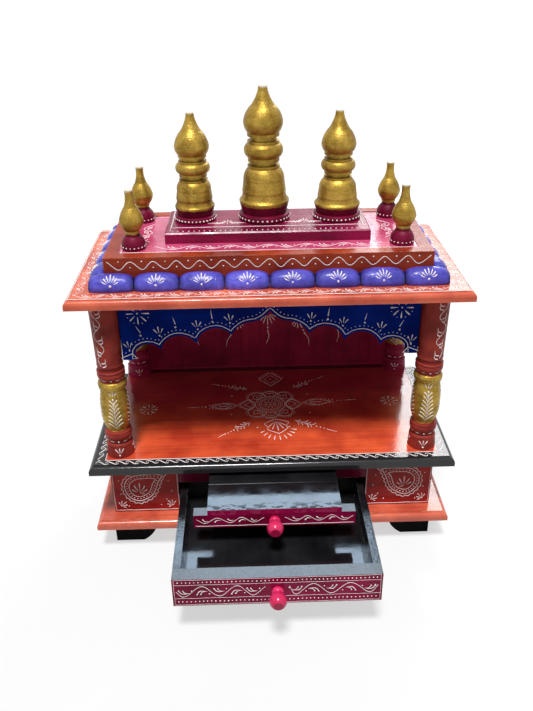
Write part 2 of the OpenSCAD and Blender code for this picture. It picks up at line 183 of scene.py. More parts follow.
def lacquer(name, dark, light, along=0, rough=(0.16, 0.34), wear=None, zones=None, matt=None,
            grain_share=0.4, coat=0.0, bump=0.00022, spec=0.5):
    """Varnished paint over wood: mottled colour, brushed grain along one axis and rubbed edges."""
    paint = Paint(name)
    stretch = [190.0, 190.0, 190.0]
    stretch[along] = 9.0
    grain = paint.noise(1.0, 5, stretch)
    colour = paint.mix(paint.spread(paint.noise(21, 5), 0.36, 0.66), dark, light)
    colour = paint.mix(paint.spread(grain, 0.46, 0.76, 0, grain_share), colour, darker(dark, 0.45))
    if zones:
        colour = zones(paint, colour)
    if wear:
        colour = paint.mix(paint.worn_edges(0.0012), colour, wear)
    speckle = paint.noise(260, 3)
    gloss = paint.spread(paint.noise(60, 5, shift=3.0), 0.32, 0.7, *rough)
    if matt:
        gloss = paint.sum(gloss, matt(paint), "MAXIMUM")
    height = paint.sum(grain, speckle)
    return paint.finish(colour, gloss, height, bump, coat=coat, spec=spec)


ORANGE_DARK, ORANGE = (0.24, 0.022, 0.009), (0.42, 0.055, 0.018)
BOARD_DARK, BOARD = (0.52, 0.078, 0.040), (0.84, 0.180, 0.095)
BOX_DARK, BOX = (0.28, 0.012, 0.012), (0.48, 0.030, 0.022)
RUST_DARK, RUST = (0.48, 0.046, 0.020), (0.80, 0.115, 0.038)
RED_DARK, RED = (0.19, 0.016, 0.014), (0.33, 0.040, 0.027)
MAROON_DARK, MAROON = (0.18, 0.003, 0.032), (0.31, 0.006, 0.064)
BLACK_DARK, BLACK = (0.006, 0.006, 0.007), (0.016, 0.016, 0.018)
PINK_DARK, PINK = (0.50, 0.045, 0.14), (0.68, 0.10, 0.24)
BLUE_DARK, BLUE = (0.040, 0.036, 0.32), (0.145, 0.130, 0.76)
NAVY_DARK, NAVY = (0.0004, 0.010, 0.14), (0.0008, 0.022, 0.26)
GOLD_DARK, GOLD = (0.26, 0.155, 0.020), (0.47, 0.305, 0.052)
BURGUNDY_DARK, BURGUNDY = (0.20, 0.007, 0.034), (0.36, 0.016, 0.064)
KNOB_DARK, KNOB = (0.64, 0.016, 0.10), (0.86, 0.05, 0.19)
BLOCK_DARK, BLOCK = (0.15, 0.002, 0.03), (0.28, 0.005, 0.065)
# Painted shade for the back of the floor, under the roof
BACK_SHADE_DARK, BACK_SHADE = (0.25, 0.011, 0.055), (0.44, 0.021, 0.085)
# Grey of the painted reflection on the tops of the drawer front and tray bar
REFLECTION_GREY_DARK, REFLECTION_GREY = (0.13, 0.155, 0.18), (0.20, 0.235, 0.265)
SOOT_DARK, SOOT = (0.002, 0.002, 0.003), (0.008, 0.008, 0.009)
# Colour of the painted highlight line along the back panel's foot
FOOT_HIGHLIGHT = (0.42, 0.03, 0.07)
GOLD_GLINT = (0.56, 0.41, 0.12)
GREY_WEAR = (0.12, 0.12, 0.13)
PALE_WOOD = (0.62, 0.36, 0.24)
CUT_WOOD = (0.74, 0.66, 0.52)

# Painted fields, in mm: the floor's rust field, the base's maroon rail, and the height of the painted
# shadow along the back panel's foot
FIELD, FIELD_FRONT = 209.2, -20.3
RAIL_HALF = 122.4
FOOT_SHADOW_HEIGHT = 6.0


def black_border(paint, colour):
    """The floor board's black border and edge."""
    side = paint.spread(paint.from_middle(), FIELD * MM, (FIELD + 0.5) * MM)
    front = paint.spread(paint.y, FIELD_FRONT * MM, (FIELD_FRONT - 0.5) * MM)
    return paint.mix(paint.sum(side, front, "MAXIMUM"), colour, BLACK)


def floor_shade_and_border(paint, colour):
    """Painted shade that darkens the rust towards the shrine's back, under the roof, inside the black
    border.
    """
    deep = paint.mix(paint.spread(paint.noise(25, 4), 0.3, 0.7), BACK_SHADE_DARK, BACK_SHADE)
    return black_border(paint, paint.mix(paint.spread(paint.y, 0.05, 0.14, 0, 0.65), colour, deep))


def shade_in_creases(paint, colour):
    """Blue mottled with darker patches, and painted shade in the creases between pillows and where they
    meet the platform.
    """
    crease_shade = paint.add("ShaderNodeAttribute", attribute_name="crease_shade").outputs["Fac"]
    patch = paint.spread(paint.noise(130, 5), 0.5, 0.68, 0, 0.7)
    colour = paint.mix(patch, colour, BLUE_DARK)
    broken = paint.sum(crease_shade, paint.spread(paint.noise(220, 4), 0.3, 0.6, 0.55, 1), "MULTIPLY")
    return paint.mix(broken, colour, darker(BLUE_DARK, 0.25))


def maroon_rail(paint, colour):
    """The plain maroon middle of the base's front board."""
    inside = paint.spread(paint.from_middle(), (RAIL_HALF + 0.2) * MM, (RAIL_HALF - 0.2) * MM)
    return paint.mix(inside, colour, MAROON_DARK)


def facing(paint, axis, low, high):
    """How far a face looks along an axis, spread over a range."""
    normal = paint.add("ShaderNodeNewGeometry").outputs["True Normal"]
    return paint.spread(paint.add("ShaderNodeSeparateXYZ", {"Vector": normal}).outputs[axis], low, high)


def painted_top_reflection(paint, colour):
    """A speckled grey on the faces that look up: a painted reflection of the bright space under the roof.
    """
    reflected_grey = paint.mix(paint.spread(paint.noise(900, 4), 0.35, 0.65), REFLECTION_GREY_DARK, REFLECTION_GREY)
    return paint.mix(facing(paint, 2, 0.6, 0.8), colour, reflected_grey)


def maroon_front(paint, colour):
    """Maroon on the face that looks to the front."""
    return paint.mix(facing(paint, 1, -0.6, -0.8), colour, MAROON)


def panel_foot_highlight_and_shadow(paint, colour):
    """A thin lighter line along the back panel's foot, a painted highlight, over a darker band of painted
    shadow.
    """
    top = (box_mm("floor_board")[1][2] + FOOT_SHADOW_HEIGHT) * MM
    below = paint.spread(paint.z, top + 0.0005, top - 0.0005)
    shadowed = paint.mix(below, colour, darker(BURGUNDY_DARK, 0.45))
    return paint.mix(paint.between(paint.z, top + 0.0006, top + 0.0018), shadowed, FOOT_HIGHLIGHT)


def dull_front(paint):
    """Matt blotches where hands have rubbed the tray's front edge."""
    front = box_mm("tray_board")[0][1] * MM
    near = paint.spread(paint.y, front + 0.014, front + 0.002)
    blotch = paint.spread(paint.noise(95, 4, (1, 2.2, 1)), 0.47, 0.56, 0.0, 0.75)
    return paint.sum(near, blotch, "MULTIPLY")


def flat_front(paint, colour):
    """The knobs' darker flat front, seen by its normal."""
    return paint.mix(facing(paint, 1, -0.985, -0.995), colour, darker(KNOB_DARK, 0.55))


def gilded(name, base_dark, base, low, high, bare_tip=True):
    """Brushed gold paint between two heights, lacquer below, and lacquer or bare wood above."""
    paint = Paint(name)
    ragged = paint.sum(paint.z, paint.spread(paint.noise(160, 2), 0.3, 0.7, -0.0006, 0.0006))
    gold = paint.between(ragged, low, high)
    streak = paint.noise(1.0, 5, (60, 60, 420))
    cloud = paint.noise(70, 5)
    gold_colour = paint.mix(paint.spread(cloud, 0.36, 0.66), GOLD_DARK, GOLD)
    gold_colour = paint.mix(paint.spread(streak, 0.5, 0.8, 0, 0.3), gold_colour, darker(GOLD_DARK, 0.5))
    pit = paint.noise(560, 4)
    gold_colour = paint.mix(paint.spread(pit, 0.56, 0.72, 0, 0.6), gold_colour, darker(GOLD_DARK, 0.4))
    # Painted glints: flecks of a lighter gold
    gold_colour = paint.mix(paint.spread(paint.noise(420, 3), 0.5, 0.75, 0, 0.5), gold_colour, GOLD_GLINT)
    under = paint.mix(paint.spread(paint.noise(45, 4, shift=1.7), 0.32, 0.6), base_dark, base)
    colour = paint.mix(gold, under, gold_colour)
    if bare_tip:
        colour = paint.mix(paint.spread(ragged, high - 0.0004, high + 0.0004), colour, CUT_WOOD)
    rough = paint.spread(paint.noise(110, 4), 0.3, 0.7, 0.32, 0.5)
    metal = paint.sum(gold, paint.spread(streak, 0.3, 0.7, 0.55, 0.8), "MULTIPLY")
    height = paint.sum(paint.sum(streak, 0.35, "MULTIPLY"), pit, "SUBTRACT")
    return paint.finish(colour, rough, height, 0.0008, metal=metal, spec=0.15)


def cone_paint(name, colour):
    """Raised paint squeezed from a cone: slightly uneven and soiled."""
    paint = Paint(name)
    shade = paint.mix(paint.spread(paint.noise(150, 4), 0.4, 0.7), colour, darker(colour, 0.8))
    rough = paint.spread(paint.noise(200, 3), 0.3, 0.7, 0.35, 0.6)
    return paint.finish(shade, rough, paint.noise(700, 2), 0.0001)


# Meshes
def linked(name, data):
    """A new object in the scene."""
    piece = bpy.data.objects.new(name, data)
    scene.collection.objects.link(piece)
    return piece


def mesh_object(name, verts, faces, body, material, smooth_angle=40):
    """A mesh piece from points in mm that rides a body."""
    mesh = bpy.data.meshes.new(name)
    mesh.from_pydata((np.asarray(verts) * MM).tolist(), [], faces)
    mesh.materials.append(material)
    mesh.shade_smooth()
    mesh.set_sharp_from_angle(angle=math.radians(smooth_angle))
    piece = linked(name, mesh)
    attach(piece, body)
    return piece


def ring_quads(rings, sides):
    """Faces between closed rings of points that follow each other."""
    quads = []
    for first in range(0, (rings - 1) * sides, sides):
        for i in range(sides):
            j = (i + 1) % sides
            quads.append([first + i, first + j, first + sides + j, first + sides + i])
    return quads


def spline(before, a, b, after, steps):
    """Points from a towards b on a smooth curve that comes from before and goes on to after."""
    return [0.5 * (2 * a + (b - before) * t + (2 * before - 5 * a + 4 * b - after) * t * t
                   + (3 * a - before - 3 * b + after) * t ** 3)
            for t in np.linspace(0, 1, steps, endpoint=False)]


def profile_of(node, along, axis):
    """Outline of a turned CAD node as (radius, height along its axis) pairs, in mm."""
    points = points_mm(node)
    across = [i for i in range(3) if i != along]
    radius = np.hypot(points[:, across[0]] - axis[0], points[:, across[1]] - axis[1])
    pairs = sorted({(round(h, 2), round(r, 1)) for h, r in zip(points[:, along], radius) if r > 0.5})
    levels = {}
    for h, r in pairs:
        key = next((k for k in levels if abs(k - h) < 0.03), h)
        if all(abs(r - other) > 0.15 for other in levels.setdefault(key, [])):
            levels[key].append(r)
    outline = []
    for h in sorted(levels):
        radii = sorted(levels[h], key=lambda r: abs(r - outline[-1][0]) if outline else 0)
        outline += [(r, h) for r in radii]
    return outline


def rounded(outline, corner_deg=24, cuts=3):
    """The outline with its shallow bends drawn as a smooth curve and its corners kept."""
    p = np.array(outline, float)
    n = len(p)
    heading = np.degrees(np.arctan2(*(p[1:] - p[:-1]).T))
    corner = [True] + [abs(heading[i] - heading[i - 1]) > corner_deg for i in range(1, n - 1)] + [True]
    result = []
    for i in range(n - 1):
        a, b = p[i], p[i + 1]
        before = a - (b - a) if corner[i] else p[i - 1]
        after = b + (b - a) if corner[i + 1] else p[i + 2]
        result += spline(before, a, b, after, cuts)
    return np.array(result + [p[-1]])


def lathe(name, node, outline, axis, body, material, along=2, segments=72, cut_y=None):
    """A smooth turned piece that stands for a CAD node."""
    turn = np.linspace(0, 2 * math.pi, segments, endpoint=False)
    across = [i for i in range(3) if i != along]
    rings = []
    for r, h in outline:
        ring = np.zeros((segments, 3))
        ring[:, across[0]] = axis[0] + r * np.cos(turn)
        ring[:, across[1]] = axis[1] + r * np.sin(turn)
        ring[:, along] = h
        rings.append(ring)
    verts = np.concatenate(rings)
    if cut_y is not None:
        verts[:, 1] = np.minimum(verts[:, 1], cut_y)
    last = (len(rings) - 1) * segments
    foot, tip = list(range(segments))[::-1], list(range(last, last + segments))
    faces = [foot, *ring_quads(len(rings), segments), tip]
    piece = mesh_object(name, verts, faces, body, material, 34)
    shape = bmesh.new()
    shape.from_mesh(piece.data)
    bmesh.ops.recalc_face_normals(shape, faces=shape.faces)
    shape.to_mesh(piece.data)
    shape.free()
    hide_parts(node)
    return piece


# Raised cone-work, drawn flat in mm and then laid on a surface
SECTION = ((-1.0, -0.15), (-0.72, 0.62), (0.0, 1.0), (0.72, 0.62), (1.0, -0.15))
DOME = ((1.0, -0.15), (0.85, 0.5), (0.48, 0.85))
RISE = 0.8
FINE = 0.76
DOT_SIDES = 8


class Relief:
    """Lines and dots of raised paint on one surface."""

    def __init__(self, name, lay, body="shrine", sway=0.25):
        self.name = name
        self.lay = lay
        self.body = body
        self.sway = sway
        self.points = []
        self.faces = []
        self.count = 0

    def add(self, points, faces):
        self.points.append(points)
        self.faces += [[i + self.count for i in face] for face in faces]
        self.count += len(points)

    def stroke(self, path, width):
        """A half-round line along a path; the width may change along it."""
        path = np.asarray(path, float)
        half = np.ones(len(path)) * np.asarray(width, float) / 2 * FINE * hand.uniform(0.9, 1.1)
        way = np.gradient(path, axis=0)
        way /= np.linalg.norm(way, axis=1)[:, None] + 1e-9
        path = np.vstack([path[0] - way[0] * half[0], path, path[-1] + way[-1] * half[-1]])
        way = np.vstack([way[0], way, way[-1]])
        half = np.concatenate([[half[0] * 0.3], half, [half[-1] * 0.3]])
        side = np.column_stack([-way[:, 1], way[:, 0]])
        rows = [np.column_stack([path + side * (half * k)[:, None], half * RISE * lift])
                for k, lift in SECTION]
        points = np.stack(rows, 1)
        long, wide = points.shape[:2]
        corner = (np.arange(long - 1)[:, None] * wide + np.arange(wide - 1)[None, :]).reshape(-1)
        quads = np.column_stack([corner, corner + wide, corner + wide + 1, corner + 1])
        self.add(points.reshape(-1, 3), quads.tolist())

    def dot(self, u, v, r):
        r *= (1 + FINE) / 2 * hand.uniform(0.88, 1.12)
        turn = np.linspace(0, 2 * math.pi, DOT_SIDES, endpoint=False)
        rings = [np.column_stack([u + r * k * np.cos(turn), v + r * k * np.sin(turn),
                                  np.full(DOT_SIDES, r * RISE * lift)]) for k, lift in DOME]
        points = np.vstack(rings + [[[u, v, r * RISE]]])
        faces = ring_quads(len(DOME), DOT_SIDES)
        last, top = (len(DOME) - 1) * DOT_SIDES, len(DOME) * DOT_SIDES
        faces += [[last + i, last + (i + 1) % DOT_SIDES, top] for i in range(DOT_SIDES)]
        self.add(points, faces)

    def make(self, material):
        """Lay everything drawn so far on the surface, with the slight sway of a hand."""
        flat = np.concatenate(self.points)
        u, v = flat[:, 0].copy(), flat[:, 1].copy()
        flat[:, 0] += self.sway * np.sin(u * 0.21 + v * 0.13 + 0.7)
        flat[:, 1] += self.sway * np.sin(u * 0.17 - v * 0.23 + 2.1)
        return mesh_object(self.name, self.lay(flat), self.faces, self.body, material, smooth_angle=80)


class Pen:
    """A place and a turn, mirrored or not, from which a pattern is drawn on a relief."""

    def __init__(self, relief, u=0.0, v=0.0, turn=0.0, flip=False):
        self.relief = relief
        self.start = np.array([u, v], float)
        c, s = heading(turn)
        self.turned = np.array([[c, -s], [s, c]])
        if flip:
            self.turned = self.turned @ np.diag([-1.0, 1.0])

    def at(self, u, v, turn=0.0, flip=False):
        """A pen that starts from this one's own frame."""
        inner = Pen(self.relief, u, v, turn, flip)
        inner.start = self.start + self.turned @ inner.start
        inner.turned = self.turned @ inner.turned
        return inner

    def map(self, path):
        return self.start + np.asarray(path, float) @ self.turned.T

    def line(self, path, width=1.1):
        self.relief.stroke(self.map(path), width)

    def dot(self, u, v, r=0.9):
        self.relief.dot(*self.map([[u, v]])[0], r)

    def drop(self, tail, head, width=1.9, bend=0.0):
        """A stroke that swells towards its head."""
        tail, head = np.array(tail, float), np.array(head, float)
        t = np.linspace(0, 1, 8)
        along = head - tail
        across = np.array([-along[1], along[0]])
        path = tail + along * t[:, None] + across * (bend * np.sin(math.pi * t))[:, None]
        swell = 0.3 + 0.7 * np.sin(np.minimum(t / 0.8, 1) * math.pi / 2) ** 1.4
        self.line(path, width * swell)

    def pair(self, path, width=1.1):
        """A line and its mirror image."""
        self.line(path, width)
        self.line(path * np.array([-1, 1]), width)

    def dots(self, path, gap, r=0.8):
        """Dots at an even gap along a path."""
        length, point = measured(path)
        count = max(1, round(length / gap))
        for s in (np.arange(count) + 0.5) * length / count:
            self.dot(*point(s), r)


def measured(path):
    """A path's length, and a function that gives the point at a length along it."""
    path = np.asarray(path, float)
    reach = np.concatenate([[0], np.cumsum(np.linalg.norm(np.diff(path, axis=0), axis=1))])

    def point(s):
        return np.array([np.interp(s, reach, path[:, 0]), np.interp(s, reach, path[:, 1])])
    return reach[-1], point


def heading(angle):
    """A step of one along an angle in degrees."""
    return np.array([math.cos(math.radians(angle)), math.sin(math.radians(angle))])


def curve(points, steps):
    """A smooth curve through points."""
    p = np.asarray(points, float)
    p = np.vstack([2 * p[0] - p[1], p, 2 * p[-1] - p[-2]])
    result = []
    for a, b, c, d in zip(p[:-3], p[1:-2], p[2:-1], p[3:]):
        result += spline(a, b, c, d, steps)
    return np.array(result + [p[-2]])


def arc(u, v, r, start, end, steps):
    """Points on a circle between two angles in degrees."""
    turn = np.radians(np.linspace(start, end, steps))
    return np.column_stack([u + r * np.cos(turn), v + r * np.sin(turn)])


def straight(*corners, gap=12.0):
    """A path through corners with points no further apart than the gap."""
    result = []
    for a, b in zip(corners[:-1], corners[1:]):
        count = max(2, int(math.dist(a, b) / gap) + 1)
        result += [np.array(a) + (np.array(b) - np.array(a)) * t for t in np.linspace(0, 1, count)[:-1]]
    return np.array(result + [np.array(corners[-1], float)])


def oblong(low, high):
    """A closed path round a rectangle from its lower left corner."""
    return straight(low, (high[0], low[1]), high, (low[0], high[1]), low)


def three_sides(half, front, back):
    """A path down the left side of a board's top, along its front and up its right side."""
    return straight((-half, back), (-half, front), (half, front), (half, back))


# Patterns, each drawn upwards from its pen's start
def fan(pen, reach=8.0, count=5, spread=130.0, width=1.6, start=1.5):
    """Drops that open like a fan, the middle one longest."""
    for i in range(count):
        way = heading(90 - spread / 2 + spread * i / (count - 1))
        far = reach * (1 - 0.28 * abs(2 * i / (count - 1) - 1))
        pen.drop(way * start, way * far, width, 0.16 * (i - (count - 1) / 2) / count)


def sprig(pen, size=10.0):
    """Three drops that open over a dot."""
    pen.dot(0, 0, 1.4)
    for k in (-1, 0, 1):
        pen.drop((k * size * 0.17, size * 0.3), (k * size * 0.46, size * (1.0 - 0.24 * abs(k))), 1.7)


def hanging_fan(pen, reach=17.0):
    """A fan with dots and a waving tail beyond it."""
    fan(pen, reach, 7, 140, 2.0, 3.0)
    pen.dot(0, reach + 4.5, 1.7)
    pen.dot(0, reach + 9.5, 1.4)
    tail = curve([(0, reach + 11), (-1.4, reach + 18), (-0.4, reach + 24), (2.4, reach + 31)], 5)
    pen.line(tail, np.linspace(1.6, 0.6, len(tail)))


def flower(pen, reach=12.0, petals=8, width=2.2, ring_dots=True):
    """Drops round a dot, with dots between their heads."""
    pen.dot(0, 0, 1.3)
    for i in range(petals):
        way = heading(360 * i / petals)
        pen.drop(way * reach * 0.38, way * reach, width)
        if ring_dots:
            pen.dot(*(heading(360 * (i + 0.5) / petals) * reach * 1.02), 0.75)


def leaf(pen, length, wide, width=1.1):
    """The outline of a pointed leaf from its foot to its tip."""
    shape = np.array([(0, 0), (-0.42, 0.22), (-0.5, 0.45), (-0.2, 0.8), (0, 1)])
    pen.pair(curve(shape * (wide, length), 5), width)


def commas(pen, size, count=2, slope=0.34):
    """Curved drops with round heads, each smaller than the last, and a dot after them."""
    for i in range(count):
        part = size * (1 - 0.24 * i)
        u = size * (0.58 * i - 0.3 * count - 0.2)
        pen.drop((u + part * 1.25, part * slope), (u, -part * slope), 1.4 - 0.15 * i, -0.24)
        pen.dot(u, -part * slope, 1.05 - 0.12 * i)
    if count > 1:
        pen.dot(size * 1.06, -size * 0.2, 0.85)


def tailed(pen, length, dots, *path):
    """Dots at shares of a stem's length, and a thin tail after them."""
    for share, r in dots:
        pen.dot(0, length * share, r)
    tail = straight(*path, gap=4)
    pen.line(tail, np.linspace(1.2, 0.5, len(tail)))


def fringe(pen, feet, out, up, width):
    """Drops that point outwards and up from feet on both sides of a stem."""
    for side in (-1, 1):
        for u, v in feet:
            pen.drop((side * u, v), (side * (u + out), v + up), width)


def spray(pen, length):
    """Drops on both sides of a stem, then dots and a thin tail."""
    for i, (share, size) in enumerate(((0.02, 0.13), (0.13, 0.15), (0.25, 0.14), (0.36, 0.11))):
        for side in (-1, 1):
            reach = length * size * (1 if side * (-1) ** i > 0 else 0.75)
            foot, head = (side * 0.5, length * share), (side * reach * 0.8, length * share + reach)
            pen.drop(foot, head, 1.5, side * 0.22)
    tailed(pen, length, ((0.53, 1.25), (0.62, 1.05), (0.7, 0.9)), (0, length * 0.77), (0.6, length * 0.88),
           (0, length))


def vine(pen, knots, width=1.1, leaf_size=5.0, leaves=2, mirrored=False):
    """A waving line with a group of curved drops in each bay."""
    knots = np.asarray(knots, float)
    pen.line(curve(knots, 7), width)
    for before, here, after in zip(knots[:-2], knots[1:-1], knots[2:]):
        low = here[1] < (before[1] + after[1]) / 2
        depth = abs(here[1] - (before[1] + after[1]) / 2)
        bay = pen.at(here[0], here[1] + (depth * 0.62 if low else -depth * 0.62), 180 if low else 0,
                     flip=low != mirrored)
        commas(bay, leaf_size, leaves, 0.34 if leaves > 1 else 0.18)


def waves(start, end, pitch, low, high):
    """Knots of an even wave between two places."""
    count = max(2, round((end - start) / pitch * 2))
    return [(start + (end - start) * i / count, low if i % 2 else high) for i in range(count + 1)]


def swung(first, places, last, low, high):
    """Knots of a wave that goes low and high by turns between two ends."""
    return [first, *((u, high if i % 2 else low) for i, u in enumerate(places)), last]


def chain(pen, start, end, pitch, half):
    """A running row of S-shaped scrolls that swell in their middles."""
    count = max(2, round((end - start) / pitch))
    step = (end - start) / count
    scroll = curve([(-0.62, -0.1), (-0.56, 0.75), (-0.3, 0.8), (0, 0.05), (0.3, -0.8), (0.56, -0.75),
                    (0.62, 0.1)], 4)
    swell = 0.75 + 0.95 * np.sin(np.linspace(0, math.pi, len(scroll))) ** 2
    for i in range(count):
        pen.at(start + step * (i + 0.5), 0).line(scroll * np.array([step, half]), swell)


def paisley(pen):
    """A large paisley with its tip towards the upper left, about 60 mm across."""
    outer = curve([(-33, 24), (-26, 12), (-22, 0), (-17, -11), (-8, -19), (4, -24), (16, -19), (24, -7),
                   (25, 7), (19, 18), (8, 24), (-6, 25), (-20, 25.5), (-33, 24)], 5)
    heart = np.array([2.0, 2.0])
    length, point = measured(outer)
    count = int(length / 3.6)
    zigzag = [heart + (point(length * i / count) - heart) * (1.06 if i % 2 else 0.98)
              for i in range(count + 1)]
    pen.line(zigzag, 1.4)
    for share, width in ((0.86, 1.5), (0.6, 1.4)):
        pen.line(heart + (outer - heart) * share, width)
    pen.dots(heart + (outer - heart) * 0.73, 4.4, 1.0)
    foot = pen.at(3, -7)
    fan(foot, 15, 5, 120, 2.1, 4.0)
    foot.line(curve([(0, 2), (-2, -1), (-5.5, -1.5)], 4), 1.2)


def mandala(pen):
    """A flower in rings with eight petals round it."""
    flower(pen, 9.5, 10, 1.5, False)
    pen.dots(arc(0, 0, 12.6, 0, 360, 60), 3.4, 0.75)
    pen.line(arc(0, 0, 15.2, 0, 360, 44), 0.9)
    pen.dots(arc(0, 0, 17.8, 0, 360, 60), 3.2, 0.6)
    pen.line(arc(0, 0, 20.8, 0, 360, 52), 1.2)
    for turn in range(0, 360, 45):
        petal = pen.at(*(heading(turn) * 20.8), turn - 90)
        petal.dot(0, 5.0, 1.0)
        if turn % 180 == 0:
            leaf(petal, 22.5, 24)
            leaf(petal.at(0, 0.5), 15, 13, 0.9)
            rim = curve([(-12.5, 3), (-13.8, 10), (-7, 19), (0, 26)], 6)
        elif turn % 90 == 0:
            petal.line(arc(0, 1.5, 11.5, 195, -15, 18), 1.2)
            petal.line(arc(0, 2.5, 6.4, 205, -25, 14), 1.0)
            rim = arc(0, 1.5, 14, 180, 90, 10)
        else:
            outer = curve([(-11, -1), (-12.2, 7), (-8.5, 14.5), (-2.5, 17.5), (0, 19.5)], 5)
            petal.pair(outer, 1.2)
            leaf(petal.at(0, 0.8), 12, 10.5, 0.9)
            rim = curve([(-14.4, 4), (-13.4, 11), (-8.5, 18), (-2.5, 21)], 6)
        for side in (-1, 1):
            petal.dots(rim * np.array([side, 1]), 3.1, 0.65)


def long_arm(pen, length):
    """A leaf with a fringed tip, dots and a thin tail that reach out from the mandala."""
    tip = length * 0.52
    leaf(pen, tip, 15, 1.0)
    fan(pen.at(0, tip * 0.16), tip * 0.5, 3, 60, 1.5)
    pen.dot(0, tip * 0.12, 0.9)
    shares = [0.5 + 0.13 * i for i in range(5)]
    fringe(pen, [(8.2 * (1 - (share - 0.35) / 0.82), tip * share) for share in shares], 2.6, 2.8, 1.2)
    tailed(pen, length, ((0.64, 1.15), (0.71, 1.0), (0.78, 0.85)), (0, length * 0.83), (0, length))


def lotus(pen, length):
    """A lobed leaf with drops inside and a fringe of drops round its far side."""
    lobes = np.array([(0, 0), (-0.3, 0.16), (-0.24, 0.34), (-0.26, 0.44), (-0.13, 0.56), (0, 0.66)])
    pen.pair(curve(lobes * length, 5))
    fan(pen.at(0, length * 0.1), length * 0.42, 5, 90, 1.6)
    pen.dot(0, length * 0.36, 1.2)
    foot = np.array([0, length * 0.34])
    for i in range(-4, 5):
        way = heading(90 + i * 17) * (1, 1.1)
        pen.drop(foot + way * length * 0.36, foot + way * length * (0.54 - 0.012 * abs(i)), 1.8)


def diamond(pen, length):
    """A fringed diamond with a dot in it."""
    for share, width in ((0.5, 1.1), (0.3, 0.9)):
        reach = length * share
        middle_v = length * 0.5
        pen.line(straight((0, middle_v - reach), (reach * 0.9, middle_v), (0, middle_v + reach),
                          (-reach * 0.9, middle_v), (0, middle_v - reach)), width)
    pen.dot(0, length * 0.5, 1.3)
    feet = [(length * 0.45 * (0.9 - 0.2 * i), length * (0.55 + 0.1 * i)) for i in range(5)]
    fringe(pen, feet, 2.5, 3.5, 1.3)


# Surfaces to draw on
RIGHTWARD, LEFTWARD = np.array([1.0, 0, 0]), np.array([-1.0, 0, 0])
BACKWARD, FRONTWARD = np.array([0, 1.0, 0]), np.array([0, -1.0, 0])
UPWARD = np.array([0, 0, 1.0])


def on_plane(start, u_axis, v_axis):
    """Lays a drawing on a flat surface."""
    start, out = np.array(start, float), np.cross(u_axis, v_axis)

    def lay(flat):
        return start + flat[:, :1] * u_axis + flat[:, 1:2] * v_axis + flat[:, 2:] * out
    return lay


def on_turned(axis, outline, facing):
    """Lays a drawing on a turned piece, with u round it and v up it."""
    outline = np.asarray(outline)

    def lay(flat):
        r = np.interp(flat[:, 1], outline[:, 1], outline[:, 0])
        turn = math.radians(facing) + flat[:, 0] / r
        reach = r + flat[:, 2]
        return np.column_stack([axis[0] + reach * np.cos(turn), axis[1] + reach * np.sin(turn), flat[:, 1]])
    return lay


def on_cast(verts, faces, start, u_axis, v_axis, reach=60.0):
    """Lays a drawing on a mesh by dropping it square to the drawing's plane."""
    tree = BVHTree.FromPolygons([Vector(v) for v in verts], faces)
    start, out = np.array(start, float), np.cross(u_axis, v_axis)

    def lay(flat):
        result = []
        for u, v, h in flat:
            source = start + u * u_axis + v * v_axis + out * reach
            hit = tree.ray_cast(Vector(source), Vector(-out))[0]
            ground = np.array(hit) if hit is not None else start + u * u_axis + v * v_axis
            result.append(ground + out * h)
        return np.array(result)
    return lay


def on_top(node):
    """Lays a drawing on a board's top, with u to the right and v to the back."""
    return on_plane((0, 0, box_mm(node)[1][2]), RIGHTWARD, BACKWARD)


def on_front(node):
    """Lays a drawing on a board's front, with u to the right and v up."""
    return on_plane((0, box_mm(node)[0][1], 0), RIGHTWARD, UPWARD)


def on_side(node, u_axis):
    """Lays a drawing on a board's left side, u to the front, or right side, u to the back, with v up."""
    low, high = box_mm(node)
    return on_plane((low[0] if u_axis is FRONTWARD else high[0], 0, 0), u_axis, UPWARD)


# Materials of the CAD nodes
DULL = 0.13
SIDES = ("left", "right")
CORNERS = ("front_left", "front_right", "back_left", "back_right")
all_looks = (
    lacquer("orange_board", ORANGE_DARK, ORANGE, 0, wear=PALE_WOOD, spec=DULL),
    lacquer("roof_paint", BOARD_DARK, BOARD, 0, wear=PALE_WOOD, spec=0.3),
    lacquer("base_paint", BOARD_DARK, BOARD, 0, (0.1, 0.24), wear=PALE_WOOD, coat=0.1),
    lacquer("foot_paint", SOOT_DARK, SOOT, 2, (0.5, 0.7), spec=0.03),
    lacquer("floor_paint", RUST_DARK, RUST, 0, (0.07, 0.16), zones=floor_shade_and_border, coat=0.2, spec=0.3),
    lacquer("box_paint", BOX_DARK, BOX, 0, wear=PALE_WOOD, zones=maroon_rail, spec=DULL),
    lacquer("side_paint", BOX_DARK, BOX, 1, wear=PALE_WOOD, spec=DULL),
    lacquer("back_paint", BURGUNDY_DARK, BURGUNDY, 2, (0.14, 0.3), zones=panel_foot_highlight_and_shadow, spec=DULL),
    lacquer("drawer_paint", MAROON_DARK, MAROON, 0, (0.12, 0.3), zones=painted_top_reflection, bump=0.0004, spec=DULL),
    lacquer("rim_paint", BLACK_DARK, BLACK, 1, (0.08, 0.26), wear=GREY_WEAR, bump=0.0004),
    lacquer("black_paint", BLACK_DARK, BLACK, 1, (0.05, 0.16), wear=GREY_WEAR, bump=0.00006),
    lacquer("tray_paint", BLACK_DARK, BLACK, 1, (0.03, 0.1), zones=maroon_front, matt=dull_front,
            bump=0.00002),
    lacquer("block_paint", BLOCK_DARK, BLOCK, 0, spec=0.25),
    lacquer("pink_paint", PINK_DARK, PINK, 0, coat=0.25),
    lacquer("blue_paint", BLUE_DARK, BLUE, 0, (0.2, 0.46), zones=shade_in_creases, grain_share=0.55, coat=0.1,
            bump=0.0011, spec=0.3),
    lacquer("navy_paint", NAVY_DARK, NAVY, 0, (0.5, 0.65), spec=0.03),
    lacquer("knob_paint", KNOB_DARK, KNOB, 1, (0.14, 0.26), zones=flat_front, grain_share=0.2, spec=0.3),
)
